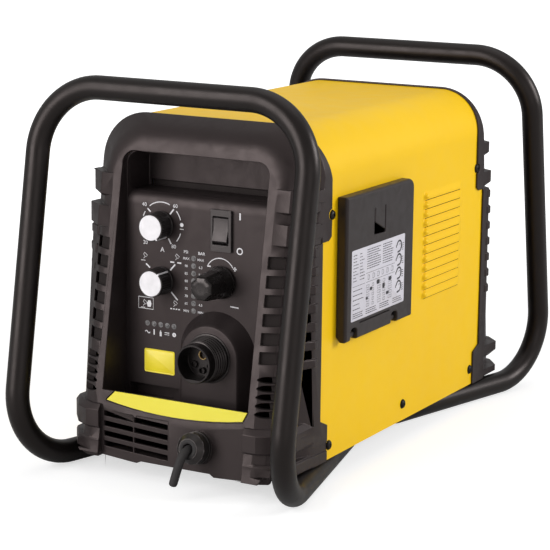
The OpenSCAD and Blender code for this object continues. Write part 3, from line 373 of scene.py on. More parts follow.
louvre_rows = [-4.5, -4.45, -4.38, -3.22, -3.15, -3.05, -2.9, -2.4, -1.6, -0.8]
louvre_rows += [0.0, 0.9, 1.8, 2.7, 3.5, 4.1, 4.5]
louvre_columns = (
    [louvre_front + k for k in (0, 0.8, 1.5, 2.2, 2.9, 3.6, 4.3, 5.0, 5.8, 6.6, 7.4, 8.2, 9.0, 9.8, 10.6)]
    + [louvre_front + 12 + k * 6.0 for k in range(12)]
    + [louvre_back - k for k in (14, 11, 9, 7, 5.5, 4.5, 4, 3, 0)]
)
slot_front, slot_back = louvre_front + 6.5, louvre_back - 7.0


def louvre_tile():
    """One louvre pressed in a strip of sheet: hood, round nose, and the slot under the hood's lip."""
    bm = bmesh.new()
    grid = []
    for y in louvre_columns:
        line = []
        for z in louvre_rows:
            out = louvre_height(y, z)
            if -4.4 < z < -3.2 and slot_front < y < slot_back:
                out = -2.6
            line.append(bm.verts.new((out, y, z)))
        grid.append(line)
    for i in range(len(grid) - 1):
        for j in range(len(louvre_rows) - 1):
            bm.faces.new((grid[i][j], grid[i + 1][j], grid[i + 1][j + 1], grid[i][j + 1]))
    return mesh_of("louvre_tile", bm, 50)


def tree_socket(tree, name, kind, value=None, out=False):
    """Adds a named input or output to a node tree and returns its identifier."""
    made = tree.interface.new_socket(name=name, in_out="OUTPUT" if out else "INPUT", socket_type=kind)
    if value is not None:
        made.default_value = value
    return made.identifier


def wired(tree, *rows):
    """Links sockets in a node tree: each row names a node, its output, a node and its input."""
    for start, out, end, into in rows:
        tree.links.new(start.outputs[out], end.inputs[into])


def row_tree():
    """Repeats a pressed tile up a wall: number of tiles and their pitch are its inputs."""
    tree = bpy.data.node_groups.new("row of louvres", "GeometryNodeTree")
    names = {
        "tile": tree_socket(tree, "Tile", "NodeSocketGeometry"),
        "count": tree_socket(tree, "Number of louvres", "NodeSocketInt", 12),
        "start": tree_socket(tree, "Lowest louvre", "NodeSocketVector"),
        "pitch": tree_socket(tree, "Pitch", "NodeSocketVector"),
        "material": tree_socket(tree, "Material", "NodeSocketMaterial"),
    }
    tree_socket(tree, "Wall", "NodeSocketGeometry", out=True)
    n = tree.nodes.new
    given, result = n("NodeGroupInput"), n("NodeGroupOutput")
    line, place = n("GeometryNodeMeshLine"), n("GeometryNodeInstanceOnPoints")
    real = n("GeometryNodeRealizeInstances")
    weld, finish = n("GeometryNodeMergeByDistance"), n("GeometryNodeSetMaterial")
    weld.inputs["Distance"].default_value = 0.00001
    wired(
        tree,
        (given, "Number of louvres", line, "Count"),
        (given, "Lowest louvre", line, "Start Location"),
        (given, "Pitch", line, "Offset"),
        (line, "Mesh", place, "Points"),
        (given, "Tile", place, "Instance"),
        (place, "Instances", real, "Geometry"),
        (real, "Geometry", weld, "Geometry"),
        (weld, "Geometry", finish, "Geometry"),
        (given, "Material", finish, "Material"),
        (finish, "Geometry", result, "Wall"),
    )
    return tree, names


def baked(base, name):
    """The plain mesh of an object once its modifiers have run; the object is then removed."""
    made = bpy.data.meshes.new_from_object(base.evaluated_get(bpy.context.evaluated_depsgraph_get()))
    bpy.data.objects.remove(base)
    made.name = name
    return made


def grown(name, mesh, tree, values):
    """The plain mesh that a node tree makes from a starting mesh, with the tree's inputs set first."""
    base = linked(name, mesh)
    modifier = base.modifiers.new("grow", "NODES")
    modifier.node_group = tree
    for identifier, value in values.items():
        modifier[identifier] = value
    return baked(base, name)


louvre_tree, louvre_inputs = row_tree()
louvre_wall = grown("louvre_wall", louvre_tile(), louvre_tree, {
    louvre_inputs["count"]: louvre_count,
    louvre_inputs["start"]: (cover_half_w * MM, 0, (louvre_low + louvre_pitch / 2) * MM),
    louvre_inputs["pitch"]: (0, 0, louvre_pitch * MM),
    louvre_inputs["material"]: powder_yellow,
})


def cover_sheet_mesh():
    """The cover's outer skin in one welded sheet, with cells left out for the window and the louvres."""
    bm = bmesh.new()
    known = {}

    def at(x, y, z):
        key = (round(x, 3), round(y, 3), round(z, 3))
        if key not in known:
            known[key] = bm.verts.new(key)
        return known[key]

    louvre_levels = sorted({
        round(louvre_low + louvre_pitch / 2 + i * louvre_pitch + z, 3)
        for i in range(louvre_count) for z in louvre_rows
    })
    ys = [-cover_end_low, -cover_end_high, door_window[0], door_window[1],
          louvre_front, louvre_back, cover_end_high, cover_end_low]
    zs = [cover_foot, door_window[2], louvre_low, cover_step_z,
          louvre_high, door_window[3], cover_top - cover_corner]
    spots = {(y, z) for y in ys for z in zs}
    spots |= {(y, z) for y in (louvre_front, louvre_back) for z in louvre_levels}
    spots |= {(y, z) for z in (louvre_low, louvre_high) for y in louvre_columns}
    arc_ys = [y for y in ys if abs(y) <= cover_end_high]
    louvre_field = (louvre_front, louvre_back, louvre_low, louvre_high)
    left_out = {1: [louvre_field, door_window], -1: [louvre_field]}
    for side in (1, -1):
        for i in range(len(ys) - 1):
            for j in range(len(zs) - 1):
                y0, y1, z0, z1 = ys[i], ys[i + 1], zs[j], zs[j + 1]
                if max(abs(y0), abs(y1)) > cover_end_high and z0 >= cover_step_z:
                    continue
                if any(y0 >= a and y1 <= b and z0 >= c and z1 <= d for a, b, c, d in left_out[side]):
                    continue
                low = sorted(p for p in spots if p[1] == z0 and y0 <= p[0] < y1)
                back = sorted((p for p in spots if p[0] == y1 and z0 <= p[1] < z1), key=lambda p: p[1])
                high = sorted((p for p in spots if p[1] == z1 and y0 < p[0] <= y1), reverse=True)
                front = sorted((p for p in spots if p[0] == y0 and z0 < p[1] <= z1), key=lambda p: -p[1])
                loop = [at(side * cover_half_w, *p) for p in low + back + high + front]
                bm.faces.new(loop if side == 1 else loop[::-1])
    steps = 24
    arch = []
    for k in range(steps + 1):
        turn = math.pi / 2 * k / steps
        arch.append((
            cover_half_w - cover_corner + cover_corner * math.cos(turn),
            cover_top - cover_corner + cover_corner * math.sin(turn),
        ))
    arch += [(-x, z) for x, z in reversed(arch)]
    for (x0, z0), (x1, z1) in zip(arch, arch[1:]):
        for y0, y1 in zip(arc_ys, arc_ys[1:]):
            bm.faces.new((at(x0, y0, z0), at(x0, y1, z0), at(x1, y1, z1), at(x1, y0, z1)))
    for side in (1, -1):
        wall = bmesh.new()
        wall.from_mesh(louvre_wall)
        bmesh.ops.scale(wall, vec=(side / MM, 1 / MM, 1 / MM), verts=wall.verts)
        if side < 0:
            bmesh.ops.reverse_faces(wall, faces=wall.faces)
        spare = bpy.data.meshes.new("spare")
        wall.to_mesh(spare)
        wall.free()
        bm.from_mesh(spare)
        bpy.data.meshes.remove(spare)
    bmesh.ops.remove_doubles(bm, verts=bm.verts, dist=0.02)
    return bm


def walled(name, bm, thickness, smooth_angle):
    """Gives an open skin its wall thickness inwards."""
    base = linked(name, mesh_of(name, bm, smooth_angle))
    wall = base.modifiers.new("wall", "SOLIDIFY")
    wall.thickness, wall.offset = thickness * MM, -1
    made = baked(base, name)
    shade(made, smooth_angle)
    return made


cover_mesh = walled("sleeve_cover_sheet", cover_sheet_mesh(), cover_sheet, 50)
cover = piece("sleeve_cover_sheet", cover_mesh, powder_yellow, "chassis", ["sleeve_cover"])
# Painted shade: faces in the louvre field that lie more than half a millimetre inside the sheet's outer face,
# chiefly the slots under the hoods, take this much darker yellow.
powder_painted_shade = powder_coat(
    "yellow powder coat in the slots", (0.045, 0.026, 0.001), (0.035, 0.02, 0.001), 0.7, 0.05)
cover.data.materials.append(powder_painted_shade)
for face in cover.data.polygons:
    x, y, z = (c / MM for c in face.center)
    if abs(x) < cover_half_w - 0.5 and louvre_front < y < louvre_back and louvre_low < z < louvre_high:
        face.material_index = 1

# ---------------------------------------------------------------- tube hoops
# Each hoop is one length of round steel tube, bent into foot, upright, top rail, upright and foot.
# It is powder coated satin black; moulded plugs close the ends of its feet under the machine.

tube_d, tube_bend_r = 22.2, 62.0
hoop_corners = [(82, -55, 11.1), (141, -295.1, 11.1), (141, -236.5, 360.5)]
hoop_corners += [(-x, y, z) for x, y, z in reversed(hoop_corners)]


def bent_tube_tree():
    """Bends a line of corner points to a radius and gives it a round tube's skin."""
    tree = bpy.data.node_groups.new("bent tube", "GeometryNodeTree")
    names = {
        "corners": tree_socket(tree, "Corners", "NodeSocketGeometry"),
        "bend": tree_socket(tree, "Bend radius", "NodeSocketFloat", 0.062),
        "tube": tree_socket(tree, "Tube radius", "NodeSocketFloat", 0.011),
        "steps": tree_socket(tree, "Steps in a bend", "NodeSocketInt", 24),
        "material": tree_socket(tree, "Material", "NodeSocketMaterial"),
    }
    tree_socket(tree, "Tube", "NodeSocketGeometry", out=True)
    n = tree.nodes.new
    given, result = n("NodeGroupInput"), n("NodeGroupOutput")
    line, bend = n("GeometryNodeMeshToCurve"), n("GeometryNodeFilletCurve")
    ring, skin = n("GeometryNodeCurvePrimitiveCircle"), n("GeometryNodeCurveToMesh")
    real, finish = n("GeometryNodeRealizeInstances"), n("GeometryNodeSetMaterial")
    if "Mode" in bend.inputs:
        bend.inputs["Mode"].default_value = "Poly"
    else:
        bend.mode = "POLY"
    ring.inputs["Resolution"].default_value = 40
    skin.inputs["Fill Caps"].default_value = True
    wired(
        tree,
        (given, "Corners", line, "Mesh"),
        (line, "Curve", bend, "Curve"),
        (given, "Bend radius", bend, "Radius"),
        (given, "Steps in a bend", bend, "Count"),
        (given, "Tube radius", ring, "Radius"),
        (bend, "Curve", skin, "Curve"),
        (ring, "Curve", skin, "Profile Curve"),
        (skin, "Mesh", real, "Geometry"),
        (real, "Geometry", finish, "Geometry"),
        (given, "Material", finish, "Material"),
        (finish, "Geometry", result, "Tube"),
    )
    return tree, names


powder_black = powder_coat(
    "black powder coat", (0.0055, 0.0046, 0.0043), (0.0045, 0.0037, 0.0035), 0.36, 0.12, (0.64, 0.55, 0.53))
tube_tree, tube_inputs = bent_tube_tree()
for end, side in (("front", 1), ("rear", -1)):
    corner_mesh = bpy.data.meshes.new("corners")
    corner_mesh.from_pydata(
        [(x * MM, side * y * MM, z * MM) for x, y, z in hoop_corners],
        [(i, i + 1) for i in range(len(hoop_corners) - 1)], [],
    )
    hoop_mesh = grown(end + "_hoop_tube", corner_mesh, tube_tree, {
        tube_inputs["bend"]: tube_bend_r * MM,
        tube_inputs["tube"]: tube_d / 2 * MM,
        tube_inputs["steps"]: 22,
        tube_inputs["material"]: powder_black,
    })
    hoop_bm = bmesh.new()
    hoop_bm.from_mesh(hoop_mesh)
    closed(hoop_bm).to_mesh(hoop_mesh)
    hoop_bm.free()
    shade(hoop_mesh, 40)
    piece(end + "_hoop_tube", hoop_mesh, powder_black, "chassis", [end + "_hoop"])


def turned(bm, profile, steps, place):
    """A lathe-turned form: (radius, height) pairs spun about the local z axis, then placed."""
    rings = []
    for r, h in profile:
        if r < 1e-6:
            rings.append([bm.verts.new(place @ Vector((0, 0, h)))])
        else:
            rings.append([
                bm.verts.new(place @ Vector((r * math.cos(turn), r * math.sin(turn), h)))
                for turn in (2 * math.pi * s / steps for s in range(steps))
            ])
    for a, b in zip(rings, rings[1:]):
        for s in range(steps):
            n = (s + 1) % steps
            if len(a) == 1 and len(b) == 1:
                continue
            if len(a) == 1:
                corners = (a[0], b[n], b[s])
            elif len(b) == 1:
                corners = (a[s], a[n], b[0])
            else:
                corners = (a[s], a[n], b[n], b[s])
            bm.faces.new(corners)


def facing(origin, z_way, x_way=(1, 0, 0)):
    """A placement whose local z points along one direction."""
    ez = Vector(z_way).normalized()
    ex = Vector(x_way)
    ex = (ex - ez * ex.dot(ez)).normalized()
    ey = ez.cross(ex)
    placed = Matrix((ex, ey, ez)).transposed().to_4x4()
    placed.translation = Vector(origin)
    return placed


plug_profile = [(0, -12), (9, -12), (9, -0.2), (11.0, -0.2), (11.0, 1.1), (10.3, 2.1), (8.8, 2.5), (0, 2.5)]
plug_bm = bmesh.new()
foot_way = (Vector(hoop_corners[0]) - Vector(hoop_corners[1])).normalized()
for turn_x in (1, -1):
    for turn_y in (1, -1):
        at = Vector((turn_x * hoop_corners[0][0], turn_y * hoop_corners[0][1], hoop_corners[0][2]))
        way = Vector((turn_x * foot_way.x, turn_y * foot_way.y, foot_way.z))
        turned(plug_bm, plug_profile, 36, facing(at, way, (0, 0, 1)))
shaped("hoop_foot_plugs", closed(plug_bm), 40, rubber_black, "chassis", ["hoop_end_plugs"])

# ---------------------------------------------------------------- moulded end panels
# Front and rear shells are injection moulded in black ABS with a fine spark-eroded texture.
# They clip over the ends of the cover; ribs, slots and blocks down both flanks stiffen them.


def moulded(name, colour, lighter, roughness, grain=0.22, scuffs=True):
    """Moulded thermoplastic: fine grain, faint flow mottling and a few rubbed scuffs."""
    made, tree, shader = new_material(name)
    flow = noise(tree, 14, 4, 0.6)
    rubbed = noise(tree, 55, 6, 1.2)
    less, more = (0.07, 0.08) if scuffs else (0.03, 0.03)
    toned(tree, shader, flow, colour, lighter, rubbed, roughness - less, roughness + more)
    bumps(tree, shader, [(noise(tree, 3200, 2), grain, 0.00006), (noise(tree, 420, 3), grain * 0.3, 0.00025)])
    shader.inputs["Specular IOR Level"].default_value = 0.42
    shader.inputs["Specular Tint"].default_value = (1.0, 0.82, 0.80, 1)
    return made


def solid_copy(node):
    """A welded copy of a node's solid."""
    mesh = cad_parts[node].data.copy()
    bm = bmesh.new()
    bm.from_mesh(mesh)
    bmesh.ops.remove_doubles(bm, verts=bm.verts, dist=1e-6)
    bmesh.ops.dissolve_degenerate(bm, dist=1e-6, edges=bm.edges)
    bm.to_mesh(mesh)
    bm.free()
    return mesh


flat_within, corners_at_most, ease_from, smooth_up_to = 0.6, 12, 32, 40


def eased(name, mesh, radius, segments=2, clamp=True, merge=0.001, cut_up=False):
    """Rounds sharp edges to a radius, once tiny edges are merged and, if asked, big faces cut up."""
    bm = bmesh.new()
    bm.from_mesh(mesh)
    bmesh.ops.remove_doubles(bm, verts=bm.verts, dist=merge * MM)
    bmesh.ops.dissolve_degenerate(bm, dist=1e-6, edges=bm.edges)
    bmesh.ops.dissolve_limit(
        bm, angle_limit=math.radians(flat_within), verts=bm.verts, edges=bm.edges,
        use_dissolve_boundaries=False,
    )
    if cut_up:
        bmesh.ops.triangulate(bm, faces=[face for face in bm.faces if len(face.verts) > corners_at_most])
    bm.to_mesh(mesh)
    bm.free()
    base = linked(name, mesh)
    shade(mesh, smooth_up_to)
    ease = base.modifiers.new("ease", "BEVEL")
    ease.width, ease.segments = radius * MM, segments
    ease.limit_method, ease.angle_limit = "ANGLE", math.radians(ease_from)
    ease.use_clamp_overlap = clamp
    ease.miter_outer = "MITER_ARC"
    level_faces = base.modifiers.new("level faces", "WEIGHTED_NORMAL")
    level_faces.keep_sharp = True
    return baked(base, name)


def eased_piece(name, node, radius, material, body, slot, segments=2):
    """A finished piece that is a node's own solid with its sharp edges eased."""
    return piece(name, eased(name, solid_copy(node), radius, segments), material, body, [node])


def prism(loop, shift):
    """A closed prism: one loop of corners and the same loop shifted."""
    bm = bmesh.new()
    near = [bm.verts.new(p) for p in loop]
    far = [bm.verts.new(Vector(p) + Vector(shift)) for p in loop]
    bm.faces.new(near)
    bm.faces.new(far[::-1])
    for k in range(len(loop)):
        n = (k + 1) % len(loop)
        bm.faces.new((near[n], near[k], far[k], far[n]))
    return closed(bm)


def hull_of(points):
    """The convex body round a set of corners."""
    bm = bmesh.new()
    bmesh.ops.convex_hull(bm, input=[bm.verts.new(p) for p in points])
    bmesh.ops.delete(bm, geom=[v for v in bm.verts if not v.link_faces], context="VERTS")
    return closed(bm)


def carved(name, mesh, steps):
    """Joins bodies to a mesh and cuts others out of it, in the order given."""
    base = linked(name, mesh)
    tools = []
    for kind, bm in steps:
        tool = linked(name + "_tool", mesh_of(name + "_tool", bm))
        tools.append(tool)
        step = base.modifiers.new(kind, "BOOLEAN")
        step.operation, step.solver, step.object = kind, "EXACT", tool
    made = baked(base, name + "_carved")
    for tool in tools:
        bpy.data.objects.remove(tool)
    return made


panel_black = moulded("black moulded panel", (0.0165, 0.0125, 0.0125), (0.0195, 0.0150, 0.0150), 0.42)
face_foot, face_lean = 250.6, 0.1678
face_w, shell_w, shell_low = 86.0, 119.0, 22.5
foot_in, foot_front, wall_front, wall_bow = 77.2, 245.7, 240.9, 2200.0
slot_low, slot_pitch, slot_h, slot_tilt = 27.7, 9.63, 5.0, -0.05
slot_columns = [(-75, -42.4), (-40.9, -4.2)]
rib_low, rib_pitch, rib_out = 124, 16.8, 2.3
oval_low, oval_pitch, oval_x, oval_depth = 79.5, 7.7, 94, 11.5
gland_x, gland_z = 29.6, 42.0
gland_out = Vector((0, -1, face_lean)).normalized()
gland_origin = Vector((gland_x, face_lean * gland_z - face_foot, gland_z))


def face_y(z):
    """Where the leaning face stands at a height."""
    return face_lean * z - face_foot


def foot_outline(side, z, inset):
    """Corner block's outline at one height."""
    return [(side * x, y, z) for x, y in (
        (foot_in - 2, inset - foot_front), (91 - inset, inset - foot_front),
        (104.5 - inset, inset - foot_front + 7),
        (shell_w - inset - 0.02, -221), (shell_w - inset - 0.02, -180), (foot_in - 2, -233),
    )]


def flank_outline(side, z, inset, side_y):
    """Flank block's outline at one height."""
    return [(side * x, y, z) for x, y in (
        (face_w + 1.5 - inset, face_y(z) + 0.8 + inset),
        (100.5 - inset * 0.4, face_y(z) + 1.6 + inset), (106 - inset, face_y(z) + 8 + inset),
        (shell_w - inset - 0.02, inset - side_y),
        (shell_w - inset - 0.02, -180), (face_w - inset, face_y(z) + 8),
    )]


def round_bar(centre, way, r, start, end):
    """A round bar along one direction."""
    bm = bmesh.new()
    turned(bm, [(0, start), (r, start), (r, end), (0, end)], 64, facing(centre, way))
    return closed(bm)


def corner_ribs(end):
    """Ribs on the chamfered corners and the lip's lower corner; end is 1 in front and -1 behind."""
    steps = []
    for side in (1, -1):
        for k in range(-1, 6):
            low, high = rib_low + rib_pitch * k + 9.8, rib_low + rib_pitch * (k + 1) + 1.2
            corners = []
            for z, inset in ((low, 0.7), (low + 0.9, 0), (high - 0.9, 0), (high, 0.7)):
                inner = Vector((97.7, face_y(z) + 5.6))
                outer = Vector((shell_w, -190))
                along = (outer - inner).normalized()
                out = Vector((along.y, -along.x))
                if k == 5:
                    inset += 0.6
                corners += [(side * p.x, end * p.y, z) for p in (
                    inner.lerp(outer, 0.3) - out,
                    inner.lerp(outer, 0.36) + out * (rib_out - inset),
                    outer + out * (rib_out - inset), Vector((shell_w + 1.5 - inset * 0.6, -186)),
                    Vector((shell_w - 1, -183)),
                )]
            steps.append(("UNION", hull_of(corners)))
        steps.append(("UNION", prism([(side * 117.35, end * y, z) for y, z in (
            (-177, 228.6), (-164, 228.6), (-159.2, 232), (-159.2, 240), (-177, 240))], (side * 1.63, 0, 0))))
    return steps


toe_levels = [
    [(79, -243.6, 16.8), (90, -243.6, 16.8), (100.5, -238, 16.8), (100.5, -234, 16.8), (79, -234, 16.8)],
    [(x, y, shell_low + 2) for x, y in (
        (79, -245.4), (90.8, -245.4), (103.8, -238.6), (103.8, -234), (79, -234))],
]
wall_foot = [
    (-84, shell_low + 1), (-84, 18.6), (-69, 17.6), (-38.8, 15.6), (-33.5, 17.9),
    (40.3, 17.9), (44.5, 15.1), (81, 16.7), (84, 16.9), (84, shell_low + 1),
]
front_steps = corner_ribs(1)
for side in (1, -1):
    for low, high, side_y in ((256.0, 277.6, 187.0), (227.0, 247.5, 194.0)):
        front_steps.append(("UNION", hull_of(
            flank_outline(side, low, 2.4, side_y) + flank_outline(side, low + 2.0, 0, side_y)
            + flank_outline(side, high, 0, side_y))))
    for low, high, chamfer in ((44.5, 67.0, 5.0), (shell_low + 0.02, 35.5, 2.0)):
        front_steps.append(("UNION", hull_of(
            foot_outline(side, low, 1.5) + foot_outline(side, low + 1.5, 0)
            + foot_outline(side, high - chamfer, 0) + foot_outline(side, high, chamfer * 0.8))))
    front_steps.append(("UNION", hull_of([(side * x, y, z) for level in toe_levels for x, y, z in level])))
front_steps.append(("UNION", hull_of(
    [(x, y, z) for x in (-84.5, 84.5) for z in (shell_low + 0.3, 66) for y in (face_y(z) + 0.6, -237.2)])))
front_steps.append(("UNION", prism([(x, -241.6, z) for x, z in wall_foot], (0, 3.9, 0))))
bow_xs = [foot_in * k / 12 for k in range(-12, 13)]
bow = [(x, wall_bow - wall_front - math.sqrt(wall_bow ** 2 - x * x), 8) for x in bow_xs]
front_steps.append(("DIFFERENCE", prism([(-foot_in, -280, 8), (foot_in, -280, 8)] + bow[::-1], (0, 0, 66))))
front_steps.append(("UNION", round_bar(gland_origin, gland_out, 15.4, -7.8, 0)))
front_steps.append(("DIFFERENCE", round_bar(gland_origin, gland_out, 11.3, -14, 6)))
for k in range(4):
    for left, end in slot_columns:
        z = slot_low + slot_pitch * k
        front_steps.append(("DIFFERENCE", prism([
            (x, -260, z + slot_tilt * (x + 40) + up * slot_h / 2)
            for x, up in ((left, -1), (end, -1), (end, 1), (left, 1))
        ], (0, 45, 0))))
oval = [(-9.5, 0), (-7.5, 1.4), (-4.5, 2.6), (0, 3.0), (11, 3.0), (13, 1.8)]
oval += [(13, -1.8), (11, -3.0), (0, -3.0), (-4.5, -2.6), (-7.5, -1.4)]
for side in (1, -1):
    for k in range(5):
        z = oval_low + oval_pitch * k
        front_steps.append(("DIFFERENCE", prism(
            [(side * (oval_x + x), face_y(z) - 2, z + up) for x, up in oval], (0, oval_depth, 0))))
    front_steps.append(("DIFFERENCE", prism([
        (side * (shell_w - 1.4), y, z) for y, z in ((-236, 35.5), (-150, 32), (-150, 40), (-236, 44.5))
    ], (side * 6, 0, 0))))
front_shell = carved("front_end_shell", solid_copy("front_panel"), front_steps)
# Near-black plastic that paints shade: it goes on faces deep in the flank rib slots and the front's ovals,
# and on the sheet behind the hand-hold's slot.
slot_shade = moulded(
    "shaded slot plastic", (0.0045, 0.0038, 0.0036), (0.006, 0.005, 0.0048), 0.75, 0.1, False)
rear_shell = carved("rear_end_shell", solid_copy("rear_panel"), corner_ribs(-1))
for end, mesh in (("front", front_shell), ("rear", rear_shell)):
    dressed = eased(end + "_end_shell", mesh, 0.5, clamp=False, merge=0.35, cut_up=end == "rear")
    shell = piece(end + "_end_shell", dressed, panel_black, "chassis", [end + "_panel"])
    # Painted shade on the faces deep in the rib slots and, on the front shell, in the ovals.
    shell.data.materials.append(slot_shade)
    for face in shell.data.polygons:
        x, y, z = (abs(c / MM) for c in face.center)
        behind = -y - face_y(z) - (x - face_w) * 0.435
        in_ribs = 122 < z < 222 and x < 97.5
        in_ovals = 75 < z < 115 and x < 101
        if (in_ribs or in_ovals) and face_w - 3 < x and 1.2 < behind < 16 and (in_ribs or end == "front"):
            face.material_index = 1

# ---------------------------------------------------------------- control plate
# Flat moulded plate sunk in the front shell, one piece with the hand-hold pocket and the torch boss.
# Its face is finer than the shell's, so that the printed dials stay crisp.

control_black = moulded("black control plate", (0.0150, 0.0112, 0.0114), (0.0175, 0.0134, 0.0136), 0.46, 0.15)
eased_piece("control_plate", "control_panel", 0.8, control_black, "chassis", "control_black")

# ---------------------------------------------------------------- torch boss
# Tapered head round the torch socket, moulded with a soft front edge. Its flat front runs straight
# down to the foot of the recess.

plate_y = -196.0
socket_x, socket_z = 22.0, 117.5
boss_profile = [
    (40.6, -195.6), (40.2, -196.3), (39.2, -197.8), (31.4, -209.6),
    (30.5, -211.1), (29.4, -212.1), (27.9, -212.45),
]
boss_foot = 66.5


def boss_outline(r, y):
    """Outline of the boss at one depth: a half round over straight sides."""
    points = [(socket_x - r, y, boss_foot), (socket_x - r, y, 92)]
    for k in range(33):
        turn = math.pi - math.pi * k / 32
        points.append((socket_x + r * math.cos(turn), y, socket_z + r * math.sin(turn)))
    return points + [(socket_x + r, y, 92), (socket_x + r, y, boss_foot)]


boss_bm = bmesh.new()
boss_rings = [[boss_bm.verts.new(p) for p in boss_outline(r, y)] for r, y in boss_profile]
for a, b in zip(boss_rings, boss_rings[1:]):
    for k in range(len(a) - 1):
        boss_bm.faces.new((a[k], a[k + 1], b[k + 1], b[k]))
boss_bm.faces.new(boss_rings[-1])
floor_edge = [ring[0] for ring in boss_rings] + [ring[-1] for ring in reversed(boss_rings)]
boss_bm.faces.new(floor_edge)
closed(boss_bm)
for face in boss_bm.faces:
    if len(face.verts) == len(boss_rings[-1]) and face.normal.y > 0:
        bmesh.ops.reverse_faces(boss_bm, faces=boss_bm.faces)
        break
shaped("torch_boss_head", boss_bm, 28, control_black, "chassis", ["torch_boss"])

# ---------------------------------------------------------------- printed dials
# Scales, numbers and plain symbols are pad printed in pale grey ink on the control plate.
# The ink is drawn flat, without thickness, just off the plate's face.

ink_y = plate_y - 0.07
current_x, current_z = -38.8, 232.7
selector_x, selector_z = -38.8, 180.5
pressure_x, pressure_z = 25.5, 186.0


def printing_ink(name, colour):
    """Pad-printing ink: thin, slightly uneven and a little worn."""
    made, tree, shader = new_material(name)
    worn = noise(tree, 900, 4)
    toned(tree, shader, worn, tuple(c * 0.82 for c in colour), colour, noise(tree, 300, 3), 0.45, 0.6)
    bumps(tree, shader, [(noise(tree, 4000, 2), 0.15, 0.00003)])
    return made


def stroke(print_on, points, width):
    """A printed stroke: a flat ribbon along points; print_on is a bmesh and its plane's placement."""
    bm, place = print_on
    at = [Vector((p[0], p[1], 0)) for p in points]
    left, right_side = [], []
    for k, p in enumerate(at):
        way = (at[min(k + 1, len(at) - 1)] - at[max(k - 1, 0)]).normalized()
        across = Vector((-way.y, way.x, 0)) * width / 2
        left.append(bm.verts.new(place @ (p + across)))
        right_side.append(bm.verts.new(place @ (p - across)))
    for k in range(len(at) - 1):
        bm.faces.new((right_side[k], right_side[k + 1], left[k + 1], left[k]))


def patch(print_on, points):
    """A printed patch: one flat face."""
    bm, place = print_on
    bm.faces.new([bm.verts.new(place @ Vector((p[0], p[1], 0))) for p in points])


def arc_points(x, z, r, start, end, steps):
    """Points on an arc, with its angles in degrees."""
    return [
        (x + r * math.cos(math.radians(start + (end - start) * k / steps)),
         z + r * math.sin(math.radians(start + (end - start) * k / steps)))
        for k in range(steps + 1)
    ]


def lettering(print_on, words, x, z, height, bold):
    """Plain printed lettering, centred on a point."""
    bm, place = print_on
    curve = bpy.data.curves.new("lettering", "FONT")
    curve.body = words
    curve.size = height * 1.38
    curve.align_x, curve.align_y = "CENTER", "CENTER"
    curve.offset = bold
    curve.resolution_u = 3
    spare = linked("lettering", curve)
    flat = baked(spare, "lettering")
    flat.transform(place @ Matrix.Translation((x, z, 0)))
    bm.from_mesh(flat)
    bpy.data.meshes.remove(flat)


def tick(print_on, x, z, angle, inner, outer, width):
    """A short radial stroke beside a dial."""
    turn = math.radians(angle)
    stroke(print_on, [(x + r * math.cos(turn), z + r * math.sin(turn)) for r in (inner, outer)], width)


def arc_gaps(print_on, x, z, r, spans, width):
    """A dial's ring, printed in spans that leave room for its ticks."""
    for start, end in spans:
        stroke(print_on, arc_points(x, z, r, start, end, max(6, int((end - start) / 3))), width)


on_plate = Matrix(((1, 0, 0, 0), (0, 0, -1, ink_y), (0, 1, 0, 0), (0, 0, 0, 1)))
ink_grey = printing_ink("pale printing ink", (0.74, 0.72, 0.74))
dial_bm = bmesh.new()
dial = (dial_bm, on_plate)
arc_gaps(dial, current_x, current_z, 21.2, [(149, 218), (66, 129), (17, 42), (-41, -17)], 0.9)
for angle, inner, outer in ((225, 14.2, 21.8), (138.4, 16.5, 21.0), (50.3, 13.8, 20.4), (-59.5, 14.0, 19.8)):
    tick(dial, current_x, current_z, angle, inner, outer, 1.4)
patch(dial, arc_points(-17.2, 234.6, 1.9, 0, 342, 19))
stroke(dial, [(-19.3, 230.6), (-15.2, 230.6)], 0.6)
for words, x, z in (("20", -56.9, 214.4), ("40", -57.9, 250.0), ("60", -24.2, 251.4), ("80", -25.9, 213.4)):
    lettering(dial, words, x, z, 3.7, 0.02)
lettering(dial, "A", -38.2, 209.4, 4.6, 0.04)
for angle, inner, outer in ((141.4, 16.7, 22.4), (48.7, 13.9, 21.9), (-44.6, 14.3, 24.2)):
    tick(dial, selector_x, selector_z, angle, inner, outer, 1.4)
tick(dial, selector_x, selector_z, 225, 16, 21, 1.2)
# selector symbols: a plain torch and work line, the same over a broken line, over a mesh and in a frame
torch = ((-0.6, 3.6), (2.6, 1.2), (0.8, -0.8), (-1.6, 1.6), (-0.6, 3.6))
for x, z, dashes in ((-57.3, 201.3, 0), (-22.3, 203.4, 2), (-24.4, 159.2, 4), (-57.8, 156.4, 0)):
    stroke(dial, [(x + a, z + b) for a, b in torch], 0.45)
    stroke(dial, [(x - 0.2, z - 0.6), (x - 1.6, z - 2.2)], 0.5)
    if dashes == 2:
        for start in (-7.4, 0.2):
            stroke(dial, [(x + start, z - 4.6), (x + start + 4.4, z - 4.6)], 1.3)
    elif dashes == 4:
        for start in (-5.2, -2.3, 0.6, 3.5):
            stroke(dial, [(x + start, z - 4.4), (x + start + 1.8, z - 4.4)], 1.1)
    else:
        stroke(dial, [(x - 4.4, z - 3.9), (x + 0.4, z - 3.9)], 0.6)
stroke(dial, [(-64.6, 162.4), (-48.4, 162.4), (-48.4, 151.6), (-64.6, 151.6), (-64.6, 162.4)], 0.6)
patch(dial, [(-54.6, 153.6), (-51.4, 153.6), (-50.4, 156.6), (-51.4, 159.8), (-54.0, 159.8), (-55.4, 156.6)])
